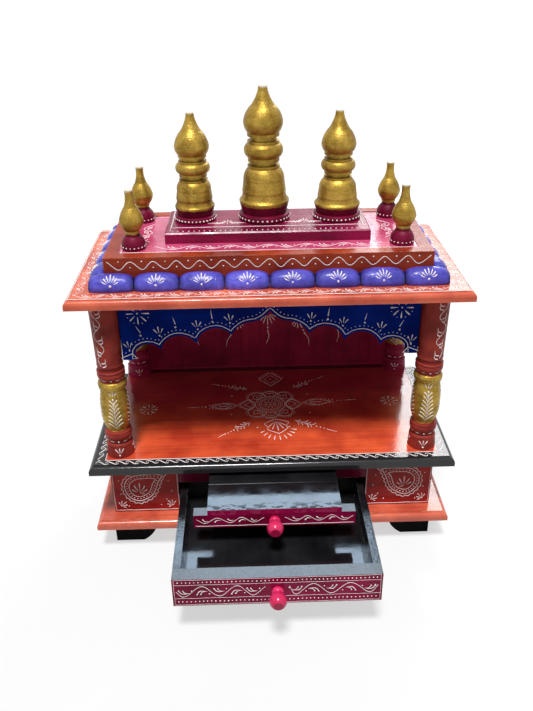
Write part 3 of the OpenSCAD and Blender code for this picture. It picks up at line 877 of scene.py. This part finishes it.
looks = {look.name: look for look in all_looks}
own_looks = {
    "floor_board": "floor_paint", "base_front_board": "box_paint", "back_panel": "back_paint",
    "roof_board": "roof_paint", "base_board": "base_paint", "finial_block": "block_paint",
    "drawer_front": "drawer_paint", "tray_bar": "drawer_paint", "tray_board": "tray_paint",
    "drawer_back": "rim_paint", **{f"drawer_{side}_side": "rim_paint" for side in SIDES},
    **{f"base_{side}_side": "side_paint" for side in SIDES},
    **{f"foot_{corner}": "foot_paint" for corner in CORNERS},
}
slot_looks = {
    "black_lacquer": "black_paint", "orange_lacquer": "orange_board", "knob_lacquer": "knob_paint",
    "navy_lacquer": "navy_paint", "ultramarine_lacquer": "blue_paint", "pink_lacquer": "pink_paint",
    "gold_paint": "orange_board",
}
SLOT_OF = {part["node"]: part["material_slot"] for part in frame["record"]["subparts"]}
for name, slot in SLOT_OF.items():
    mesh = NODES[name].data
    mesh.materials.clear()
    mesh.materials.append(looks[own_looks.get(name) or slot_looks[slot]])

cream = cone_paint("cream_relief", (0.96, 0.88, 0.86))

# Turned pieces: gold between heights over each foot, lacquer below it
CUT_TIP = 1.5
PILLAR_Z = box_mm("pillar_front_left")[0][2]
VASE_LOW, VASE_HIGH = (PILLAR_Z + 38.5) * MM, (PILLAR_Z + 107) * MM
BACK_VASE_LOW = VASE_LOW + 0.007
PILLAR_BACK_CUT = box_mm("pillar_back_left")[1][1]
PILLAR_BACK_AXIS = round(PILLAR_BACK_CUT, 1) + 3.0


def finial_paint(name, node, band):
    """Gold over a maroon foot, up to the bare cut tip of a finial."""
    low, high = box_mm(node)
    ends = (low[2] + band) * MM, (high[2] - CUT_TIP) * MM
    return gilded(name, darker(MAROON_DARK, 0.55), MAROON_DARK, *ends)


side_gold = finial_paint("side_finial_gold", "left_finial", 15.5)
corner_gold = finial_paint("corner_gold", "corner_finial_front_left", 18.5)
front_gold = gilded("pillar_gold", RED_DARK, RED, VASE_LOW, VASE_HIGH, False)
back_gold = gilded("back_pillar_gold", BURGUNDY_DARK, BURGUNDY, BACK_VASE_LOW, VASE_HIGH, False)
turned_looks = {
    "centre_finial": finial_paint("finial_gold", "centre_finial", 19.5),
    "left_finial": side_gold, "right_finial": side_gold,
    **{f"corner_finial_{corner}": corner_gold for corner in CORNERS},
    **{f"pillar_front_{side}": front_gold for side in SIDES},
    **{f"pillar_back_{side}": back_gold for side in SIDES},
}
OUTLINES, AXES = {}, {}
for name, look in turned_looks.items():
    whole = name.replace("pillar_back", "pillar_front")
    AXES[name] = middle(whole)[:2]
    OUTLINES[name] = rounded(profile_of(whole, 2, AXES[name]))
    cut = None
    if name != whole:
        AXES[name] = np.array([AXES[name][0], PILLAR_BACK_AXIS])
        cut = PILLAR_BACK_CUT
    lathe(name + "_turned", name, OUTLINES[name], AXES[name], "shrine", look, cut_y=cut)
for name, body in (("drawer_knob", "drawer"), ("tray_knob", "tray")):
    axis = middle(name)[[0, 2]]
    outline = rounded(profile_of(name, 1, axis))
    lathe(name + "_turned", name, outline, axis, body, looks["knob_paint"], along=1)

# Cone-work on the roof board
LINE_IN = 4.8
roof_low, roof_high = box_mm("roof_board")
left_line, right_line = roof_low[0] + LINE_IN, roof_high[0] - LINE_IN
front_line, back_line = roof_low[1] + LINE_IN, roof_high[1] - LINE_IN
pen = Pen(Relief("roof_cone_work", on_top("roof_board")))
pen.line(oblong((left_line, front_line), (right_line, back_line)), 1.3)
front_band = pen.at(0, (front_line + box_mm("bolster_front")[0][1]) / 2)
vine(front_band, waves(left_line + 4, right_line - 4, 32, -4.2, 4.2), 0.9, 6.4)
side_band = (right_line + box_mm("bolster_right")[1][0]) / 2
for side in (-1, 1):
    ends = (front_line + 10, back_line - 4) if side > 0 else (-back_line + 4, -front_line - 10)
    vine(pen.at(side * side_band, 0, 90 * side), waves(*ends, 32, -4.6, 4.6), 0.8, 5.4)
pen.relief.make(cream)

# Platform: waves and dots on its faces
frame_low, frame_high = box_mm("platform_frame")
frame_mid = (frame_low + frame_high) / 2
platform_faces = {
    "front": (on_front("platform_frame"), frame_low[0], frame_high[0]),
    "back": (on_plane((0, frame_high[1], 0), LEFTWARD, UPWARD), frame_low[0], frame_high[0]),
    "left": (on_side("platform_frame", FRONTWARD), -frame_high[1], -frame_low[1]),
    "right": (on_side("platform_frame", BACKWARD), frame_low[1], frame_high[1]),
}
for name, (lay, start, end) in platform_faces.items():
    pen = Pen(Relief(f"platform_{name}_cone_work", lay))
    knots = waves(start + 4, end - 4, 26.5, frame_high[2] - 14.5, frame_high[2] - 5)
    pen.line(curve(knots, 7), 1.2)
    for u, v in knots[1:-1]:
        pen.dot(u, frame_high[2] - (5 if v < frame_high[2] - 10 else 12), 1.0)
    pen.relief.make(cream)

# Bolsters: rows of full pillows with a fan on each; depth and height of a pillow's section in mm
PILLOW = curve([(19.2, 0.0), (20.1, 4.0), (19.3, 9.0), (16.6, 13.6), (12.4, 16.9), (7.6, 18.2), (3.2, 17.4),
                (0.3, 15.4)], 3)
PILLOW_STEPS = np.linspace(-1, 1, 19)
CORE_DEEP = 7.0
TILT = 0.62
ROW_COUNT, SIDE_COUNT = 8, 4
bolster_low, bolster_high = box_mm("bolster_front")
ROW_PITCH = (bolster_high[0] - bolster_low[0]) / ROW_COUNT
SIDE_PITCH = (frame_high[1] - frame_low[1]) / SIDE_COUNT


def pillow_row(node, start, along, out, count, pitch):
    """Pillows side by side along a platform face; returns their points and faces in mm."""
    verts, faces, crease_shades = [], [], []
    section = np.vstack([PILLOW, [[0.3, 0.0]]])
    wide = len(section)
    for k in range(count):
        first = len(verts)
        for t in PILLOW_STEPS:
            full = 0.66 + 0.34 * (1 - abs(t) ** 2.8) ** 0.7
            u = (k + 0.5 - count / 2 + t * 0.492) * pitch
            for d, z in section:
                deep = CORE_DEEP + (d - CORE_DEEP) * (0.25 + 0.75 * full) if d > CORE_DEEP else d
                verts.append(start + along * u + out * deep + UPWARD * z * full)
                # Painted shade weight: high at each pillow's ends and at its back against the platform
                at_end = np.interp(abs(t), (0.82, 1.0), (0, 1))
                crease_shades.append(max(at_end, np.interp(d, (0.5, 4.0), (0.9, 0))))
        faces += [[first + q[i] for i in (0, 3, 2, 1)] for q in ring_quads(len(PILLOW_STEPS), wide)]
        faces.append([first + j for j in range(wide)])
        faces.append([len(verts) - 1 - j for j in range(wide)])
    row = mesh_object(f"{node}_pillows", verts, faces, "shrine", looks["blue_paint"], 50)
    row.data.attributes.new("crease_shade", "FLOAT", "POINT").data.foreach_set("value", crease_shades)
    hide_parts(node)
    return verts, faces


rows = (
    ("bolster_front", (frame_mid[0], frame_low[1]), RIGHTWARD, FRONTWARD, ROW_COUNT, ROW_PITCH),
    ("bolster_back", (frame_mid[0], frame_high[1]), LEFTWARD, BACKWARD, ROW_COUNT, ROW_PITCH),
    ("bolster_left", (frame_low[0], frame_mid[1]), FRONTWARD, LEFTWARD, SIDE_COUNT, SIDE_PITCH),
    ("bolster_right", (frame_high[0], frame_mid[1]), BACKWARD, RIGHTWARD, SIDE_COUNT, SIDE_PITCH),
)
for node, spot, along, out, count, pitch in rows:
    start = np.array([*spot, roof_high[2]])
    verts, faces = pillow_row(node, start, along, out, count, pitch)
    slope = UPWARD * math.sqrt(1 - TILT ** 2) - out * TILT
    relief = Relief(f"{node}_cone_work", on_cast(verts, faces, start + out * 14 + UPWARD * 9, along, slope))
    for i in range(count):
        pen = Pen(relief, (i + 0.5 - count / 2) * pitch, -4.0)
        fan(pen, 13.4, 7, 126, 1.8, 4.2)
        pen.dot(0, -0.2, 1.6)
    relief.make(cream)

# Pink panel and the block on it
EDGE = 3.0
BLOCK_DOTS_IN = 6.0
BLOCK_LINE = 114.0
panel_low, panel_high = box_mm("platform_panel")
block_low, block_high = box_mm("finial_block")
pen = Pen(Relief("panel_cone_work", on_top("platform_panel")))
pen.line(oblong(panel_low[:2] + EDGE, panel_high[:2] - EDGE), 1.2)
front_band = pen.at(0, (panel_low[1] + EDGE + block_low[1]) / 2)
vine(front_band, waves(-132, 132, 44, -5.5, 5.5), 1.1, 8.0)
for side in (-1, 1):
    vine(pen.at(side * 146, 88, 90 * side), waves(-32, 32, 32, -6, 6), 1.1, 7.5)
pen.relief.make(cream)

pen = Pen(Relief("block_cone_work", on_top("finial_block")))
dots_back = block_high[1] - BLOCK_DOTS_IN
pen.dots(three_sides(block_high[0] - BLOCK_DOTS_IN, block_low[1] + BLOCK_DOTS_IN, dots_back), 6.2, 1.0)
row_front = AXES["centre_finial"][1] - 33.5
pen.line(three_sides(BLOCK_LINE, row_front, block_high[1] - 4), 1.2)
for u in (-48, 44):
    for side in (-1, 1):
        spray(pen.at(u + side * 3, row_front + 14, -90 * side), 24)
    fan(pen.at(u, row_front + 16), 9, 5, 140, 1.6)
    pen.dot(u, row_front + 12, 1.1)
pen.relief.make(cream)

# Dots round the finials' feet: height over the foot, how many and how large
FOOT_DOTS = {"centre": (4.0425, 34, 1.3), "left": (3.094, 34, 1.3), "right": (3.094, 34, 1.3),
             "corner": (4.0, 18, 1.0)}
for name in [n for n in AXES if "finial" in n]:
    height, count, size = FOOT_DOTS[name.split("_")[0]]
    outline = OUTLINES[name]
    pen = Pen(Relief(f"{name}_dots", on_turned(AXES[name], outline, -90), sway=0.1))
    v = box_mm(name)[0][2] + height
    around = 2 * math.pi * np.interp(v, outline[:, 1], outline[:, 0])
    pen.dots(straight((-around / 2, v), (around / 2, v)), around / count, size)
    pen.relief.make(cream)

# Floor board: chain on the black border, line round the field, mandala and sprays
CHAIN_FRONT, CHAIN_SIDE = -25.8, 216.0
pen = Pen(Relief("floor_cone_work", on_top("floor_board")))
pen.line(three_sides(FIELD, FIELD_FRONT, box_mm("floor_board")[1][1] - 3), 1.1)
chain(pen.at(0, CHAIN_FRONT), -219, 219, 12.6, 3.2)
for side in (-1, 1):
    chain(pen.at(side * CHAIN_SIDE, 85, 90 * side), -104, 104, 12.6, 3.2)
centre = pen.at(1.5, 101)
mandala(centre)
long_arm(centre.at(-47, -1.5, 92), 68)
long_arm(centre.at(46, 2, -86), 76)
for u, v, turn, length in ((-28, -44, 128, 54), (-31, 42, 72, 56), (31, -42, -118, 62), (33, 44, -58, 58)):
    spray(centre.at(u, v, turn), length)
lotus(centre.at(6, -38, 186), 52)
diamond(centre.at(2.6, 50), 38)
for u, v in ((-54, -24), (54, -24), (-19, -57), (24, -57), (-54, 24), (54, 24)):
    centre.dot(u, v, 1.1)
for u, v in ((-168, 95), (169, 102.5)):
    flower(pen.at(u, v), 12, 8, 2.0)
pen.relief.make(cream)

# Valances: a line and dots that follow the cusped edge, sprigs, drops and flowers over it
TOP_DOTS = 342.0
SPRIGS = ((-166.7, 282.6), (-129.7, 300.7), (-84.6, 307.8), (-47, 315))
FALLS = (((-156.6, 313.3), (-152, 301)), ((-112.8, 323.4), (-110.4, 311.2)), ((-68.4, 331.7), (-67.3, 317)))


def lower_edge(node, along):
    """The valance's cusped lower edge as (place along it, height) points from end to end."""
    points = points_mm(node)
    top = points[:, 2].max()
    edge = {(round(p[along], 2), round(p[2], 2)) for p in points if p[2] < top - 5}
    return np.array(sorted(edge))


def lifted(edge, gap):
    """The edge moved into the wood by a gap, with its cusps kept sharp."""
    fine = straight(*edge, gap=1.2)
    way = np.gradient(fine, axis=0)
    way /= np.linalg.norm(way, axis=1)[:, None] + 1e-9
    moved = fine + np.column_stack([-way[:, 1], way[:, 0]]) * gap
    return np.array([p for p in moved if np.linalg.norm(fine - p, axis=1).min() > gap - 0.25])


def draw_valance(name, lay, edge, mid, scale):
    """Cusped lines, sprigs over the cusps, drops over the foils and two flowers."""
    pen = Pen(Relief(name, lay))
    pen.line(lifted(edge, 3.2), 1.3)
    pen.dots(lifted(edge, 7.2), 5.0, 0.8)
    for side in (-1, 1):
        half = pen.at(mid, 0, flip=side > 0)
        for u, v in SPRIGS:
            sprig(half.at(u * scale, v, 8), 11)
        for tip, dot in FALLS:
            half.drop((tip[0] * scale, tip[1]), (dot[0] * scale, dot[1] + 4), 1.5)
            half.dot(dot[0] * scale, dot[1], 1.5)
        flower(half.at(-153 * scale, 329.4), 12.7 * min(1, scale * 1.4), 8, 2.3)
        near, far = mid + side * 30 * scale, mid + side * 130 * scale
        pen.dots(straight((near, TOP_DOTS), (far, TOP_DOTS)), 9, 0.7)
    pen.dots(straight((mid - 20 * scale, TOP_DOTS), (mid + 20 * scale, TOP_DOTS)), 9, 0.7)
    pen.relief.make(cream)


draw_valance("front_valance_cone_work", on_front("front_valance"), lower_edge("front_valance", 0), 0.0, 1.0)
half_front = box_mm("front_valance")[1][0]
for node, u_axis in (("left_valance", FRONTWARD), ("right_valance", BACKWARD)):
    low, high = box_mm(node)
    edge = lower_edge(node, 1) * np.array([u_axis[1], 1])
    edge = edge[np.argsort(edge[:, 0])]
    mid, scale = (low[1] + high[1]) / 2 * u_axis[1], (high[1] - low[1]) / 2 / half_front
    draw_valance(f"{node}_cone_work", on_side(node, u_axis), edge, mid, scale)

# Pillars: ferns on the gilded balusters, vines on the shafts, dashes and dots on the rings
RING_UP = (23.5, 111.0)
DASH_GAP = 8.6
DASH = np.array([1.0, 1.9, 1.0])
QUARTER = 2 * math.pi * 16.5 / 4
BAYS = ((-3, 204, -1), (4.5, 188, 1), (-2.5, 170, -1), (4, 154, 1), (-3, 139, -1))


def fern(pen):
    """A stem with seven pairs of drops and a small sprig over it."""
    pen.line(straight((0, 44), (0, 83), gap=4), 1.0)
    pen.dot(0, 86, 1.3)
    for i in range(7):
        v, reach = 44.5 + 5.5 * i, 8.8 - 0.7 * i
        for side in (-1, 1):
            pen.drop((side * 0.4, v), (side * reach, v + 7.5), 1.5, side * 0.1)
    for u in (-5, 0, 5):
        pen.drop((u * 0.35, 90), (u, 98 - 0.3 * abs(u)), 1.7)


def shaft_vine(pen):
    """A tall waving line with pairs of drops in its bays."""
    pen.line(curve([(2, 207), (7, 200), (-3, 187), (8, 171), (-4, 155), (6, 141), (3, 131)], 7), 1.1)
    for u, v, side in BAYS:
        for down, size in ((0, 8.0), (5.5, 6.0)):
            head = (u - side * size * 0.5, v - down - size * 0.5)
            pen.drop((u + side * 1.0, v + 2.5 - down), head, 1.8, side * 0.3)


def ring_dashes(pen, v):
    """A dot between two dashes on a ring."""
    pen.line(straight((-DASH_GAP - 2.6, v), (-DASH_GAP + 2.6, v), gap=2), DASH)
    pen.dot(0, v, 1.3)
    pen.line(straight((DASH_GAP - 2.6, v), (DASH_GAP + 2.6, v), gap=2), DASH)


for name in [n for n in AXES if n.startswith("pillar")]:
    left = name.endswith("left")
    side = -1 if left else 1
    relief = Relief(f"{name}_cone_work", on_turned(AXES[name], OUTLINES[name], -90), sway=0.15)
    for quarter in (0,) if "back" in name else (-1, 0, 1, 2):
        pen = Pen(relief, quarter * QUARTER - side * 1.6, PILLAR_Z)
        fern(pen)
        foot = pen.at(0, 4.5)
        foot.dot(0, 0, 1.3)
        for k in (-1, 0, 1):
            foot.drop((k * 1.2, 3), (k * 5, 9.5 - abs(k)), 1.8)
        if quarter in (0, 2):
            shaft_vine(pen.at(side * 7, 0, flip=left))
        for v in RING_UP:
            ring_dashes(pen, v)
    relief.make(cream)

# Base box: paisleys in framed panels on the front and sides
PANEL_HALF = 41.5
FRONT_PANEL, SIDE_PANEL = 164.0, 46.0
PANEL_DOTS = ((-30, 96), (-33, 80), (33, 76), (34, 98), (-18, 57), (24, 56), (-26, 66))
box_low, box_high = box_mm("base_front_board")
panel_foot_z, panel_top_z = box_low[2] + 2.5, box_high[2] - 2.5


def framed_paisley(pen):
    """A paisley with corner sprigs and dots in a frame."""
    pen.line(oblong((-PANEL_HALF, panel_foot_z), (PANEL_HALF, panel_top_z)), 1.1)
    paisley(pen.at(5, 84.5))
    for side in (-1, 1):
        corner = pen.at(side * (PANEL_HALF - 8), panel_foot_z + 7.5, side * 45)
        fan(corner, 8.5, 5, 150, 1.5)
        corner.dot(0, 0, 1.1)
    for u, v in PANEL_DOTS:
        pen.dot(u, v, 1.0)


pen = Pen(Relief("base_front_cone_work", on_front("base_front_board")))
framed_paisley(pen.at(FRONT_PANEL, 0))
framed_paisley(pen.at(-FRONT_PANEL, 0, flip=True))
pen.relief.make(cream)
for node, u_axis in (("base_left_side", FRONTWARD), ("base_right_side", BACKWARD)):
    pen = Pen(Relief(f"{node}_cone_work", on_side(node, u_axis)), middle(node)[1] * u_axis[1])
    framed_paisley(pen.at(-SIDE_PANEL, 0))
    framed_paisley(pen.at(SIDE_PANEL, 0, flip=True))
    pen.relief.make(cream)

# Drawer front and tray bar: vines between lines and dots, with heights in mm over the ground
DRAWER_LINES, DRAWER_DOTS = (48.9, 58.6, 78.6, 86.3), (53.6, 82.4)
DRAWER_SWING, TRAY_SWING = (60.8, 76.0), (97.6, 105.4)
LEFT_VINE = swung((-113, 69), (-104, -84, -65, -45, -28), (-14, 73), *DRAWER_SWING)
RIGHT_VINE = swung((13, 73), (21, 40, 60, 81, 103), (112, 71), *DRAWER_SWING)
TRAY_VINE = swung((-93, 103.5), (-82.7, -68, -53, -39, -25), (-12.5, 104), *TRAY_SWING)
pen = Pen(Relief("drawer_cone_work", on_front("drawer_front"), "drawer"))
edge_u = box_mm("drawer_front")[1][0] - 2.2
for v in DRAWER_LINES:
    pen.line(straight((-edge_u, v), (edge_u, v)), 0.55)
for v in DRAWER_DOTS:
    pen.dots(straight((-edge_u + 2, v), (edge_u - 2, v)), 4.6, 0.9)
for side in (-1, 1):
    pen.line(straight((side * edge_u, DRAWER_LINES[0]), (side * edge_u, DRAWER_LINES[-1])), 0.65)
vine(pen, LEFT_VINE, 0.85, 7.6)
vine(pen, RIGHT_VINE, 0.85, 7.6, 2, True)
pen.relief.make(cream)

pen = Pen(Relief("tray_cone_work", on_front("tray_bar"), "tray"))
bar_low, bar_high = box_mm("tray_bar")
bar_line = bar_low[2] + 2.2
pen.line(straight((bar_low[0] + 2.5, bar_line), (bar_high[0] - 2.5, bar_line)), 0.9)
for side in (-1, 1):
    vine(pen.at(0, 0, flip=side > 0), TRAY_VINE, 0.85, 5.4, 1, side > 0)
pen.relief.make(cream)

# Back panel: sprays that hang under the arch
pen = Pen(Relief("back_panel_cone_work", on_front("back_panel")), 1.7)
hanging_fan(pen.at(0, 229, 180))
for side in (-1, 1):
    half = pen.at(0, 0, flip=side < 0)
    hanging_fan(half.at(44, 219, 205), 15)
    hanging_fan(half.at(104, 226, 180), 15)
    for u, v in ((24, 224), (72, 222), (132, 222)):
        half.drop((u + 5, v + 9), (u - 2, v), 2.4, -0.4)
        half.drop((u + 12, v + 8), (u + 7, v + 1), 1.9, -0.4)
pen.relief.make(cream)

# Camera: place in mm, the directions to its right and ahead, and its lens in pixels of a tall picture
CAMERA_PLACE = (-21.53, -781.51, 694.99)
CAMERA_RIGHT, CAMERA_AHEAD = (0.99952, -0.02818, -0.01261), (0.0187, 0.87755, -0.47912)
LENS_PIXELS, PICTURE_HIGH = 743.29, 711
SENSOR = 36
camera = linked("camera", bpy.data.cameras.new("camera"))
camera.data.sensor_width = SENSOR
camera.data.lens = LENS_PIXELS / PICTURE_HIGH * SENSOR
forward = Vector(CAMERA_AHEAD).normalized()
up = Vector(CAMERA_RIGHT).normalized().cross(forward).normalized()
turned_to = Matrix((forward.cross(up), up, -forward)).transposed().to_4x4()
camera.matrix_world = Matrix.Translation(Vector(CAMERA_PLACE) * MM) @ turned_to
scene.camera = camera

# Levels of light, and the lamps' places in metres
KEY_LEVEL = 3.4
ROOM_LEVEL = 0.2
SOFTBOX_WATTS = 16.0
CARD_WATTS = 2.2
FLOOR_GLOW = 0.6
KEY_PLACE = (-0.1, -0.75, 2.0)
SOFTBOX_PLACE, SOFTBOX_TARGET = (0.62, 1.78, 1.39), (0.19, 0.05, 0.1)
CARD_PLACE, CARD_TARGET = (0, 0.09, 0.338), (0, 0.09, 0)
CARD_BLUE = (0.6, 0.79, 1.0)

# Floor: matt, and white to the camera and in reflections
FLOOR_HALF = 20.0
WHITE = (1, 1, 1)
floor_paint = Paint("studio_floor")
cloud = floor_paint.spread(floor_paint.noise(3, 2), 0.3, 0.7)
tone = floor_paint.mix(cloud, darker(WHITE, 0.29), darker(WHITE, 0.31))
glow = floor_paint.spread(floor_paint.shown(), 0, 1, 0, FLOOR_GLOW)
floor_paint.put(floor_paint.bsdf.inputs["Emission Color"], WHITE)
floor_paint.put(floor_paint.bsdf.inputs["Emission Strength"], glow)
rough = floor_paint.spread(floor_paint.noise(40, 2), 0.3, 0.7, 0.8, 0.9)
floor_mesh = bpy.data.meshes.new("studio_floor")
floor_corners = [(x * FLOOR_HALF, y * FLOOR_HALF, 0) for x, y in ((-1, -1), (1, -1), (1, 1), (-1, 1))]
floor_mesh.from_pydata(floor_corners, [], [(0, 1, 2, 3)])
floor_mesh.materials.append(floor_paint.finish(tone, rough, floor_paint.noise(400, 2), 0.00005))
floor = linked("studio_floor", floor_mesh)
floor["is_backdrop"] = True


# Light: a soft key overhead in front and a softbox behind on the right, in a white room
def lamp(name, kind, place, target, **settings):
    """A lamp that looks from a place at a target, both in metres."""
    data = bpy.data.lights.new(name, kind)
    for key, value in settings.items():
        setattr(data, key, value)
    piece = linked(name, data)
    piece.location = place
    piece.rotation_euler = (Vector(target) - Vector(place)).to_track_quat("-Z", "Y").to_euler()
    return piece


lamp("key", "SUN", KEY_PLACE, (0, 0, 0), energy=KEY_LEVEL, angle=math.radians(12))
softbox = lamp("softbox", "AREA", SOFTBOX_PLACE, SOFTBOX_TARGET, energy=SOFTBOX_WATTS, shape="RECTANGLE",
               size=0.8, size_y=0.62)
softbox.visible_camera = False

# A pale card under the roof, seen only in reflections and only on the drawer and the tray
card = lamp("roof_glow", "AREA", CARD_PLACE, CARD_TARGET, energy=CARD_WATTS, shape="RECTANGLE",
            size=0.344, size_y=0.214, color=CARD_BLUE)
card.visible_diffuse = False
card.visible_camera = False
lacquered = bpy.data.collections.new("black_lacquer_pieces")
for name in ("tray_board", "tray_bar", "drawer_front", "drawer_left_side", "drawer_right_side",
             "drawer_back", "drawer_bottom"):
    lacquered.objects.link(NODES[name])
card.light_linking.receiver_collection = lacquered

# World: white to the camera and in reflections, dimmer as light
scene.world = bpy.data.worlds.new("world")
scene.world.use_nodes = True
sky = Nodes(scene.world.node_tree)
sky.tree.nodes.clear()
room = sky.add("ShaderNodeBackground", {"Color": WHITE, "Strength": ROOM_LEVEL}).outputs[0]
backdrop = sky.add("ShaderNodeBackground", {"Color": WHITE, "Strength": 1.0}).outputs[0]
light = sky.add("ShaderNodeMixShader", {0: sky.shown(), 1: room, 2: backdrop}).outputs[0]
sky.add("ShaderNodeOutputWorld", {"Surface": light})
scene.view_settings.view_transform = "Standard"

low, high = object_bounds()
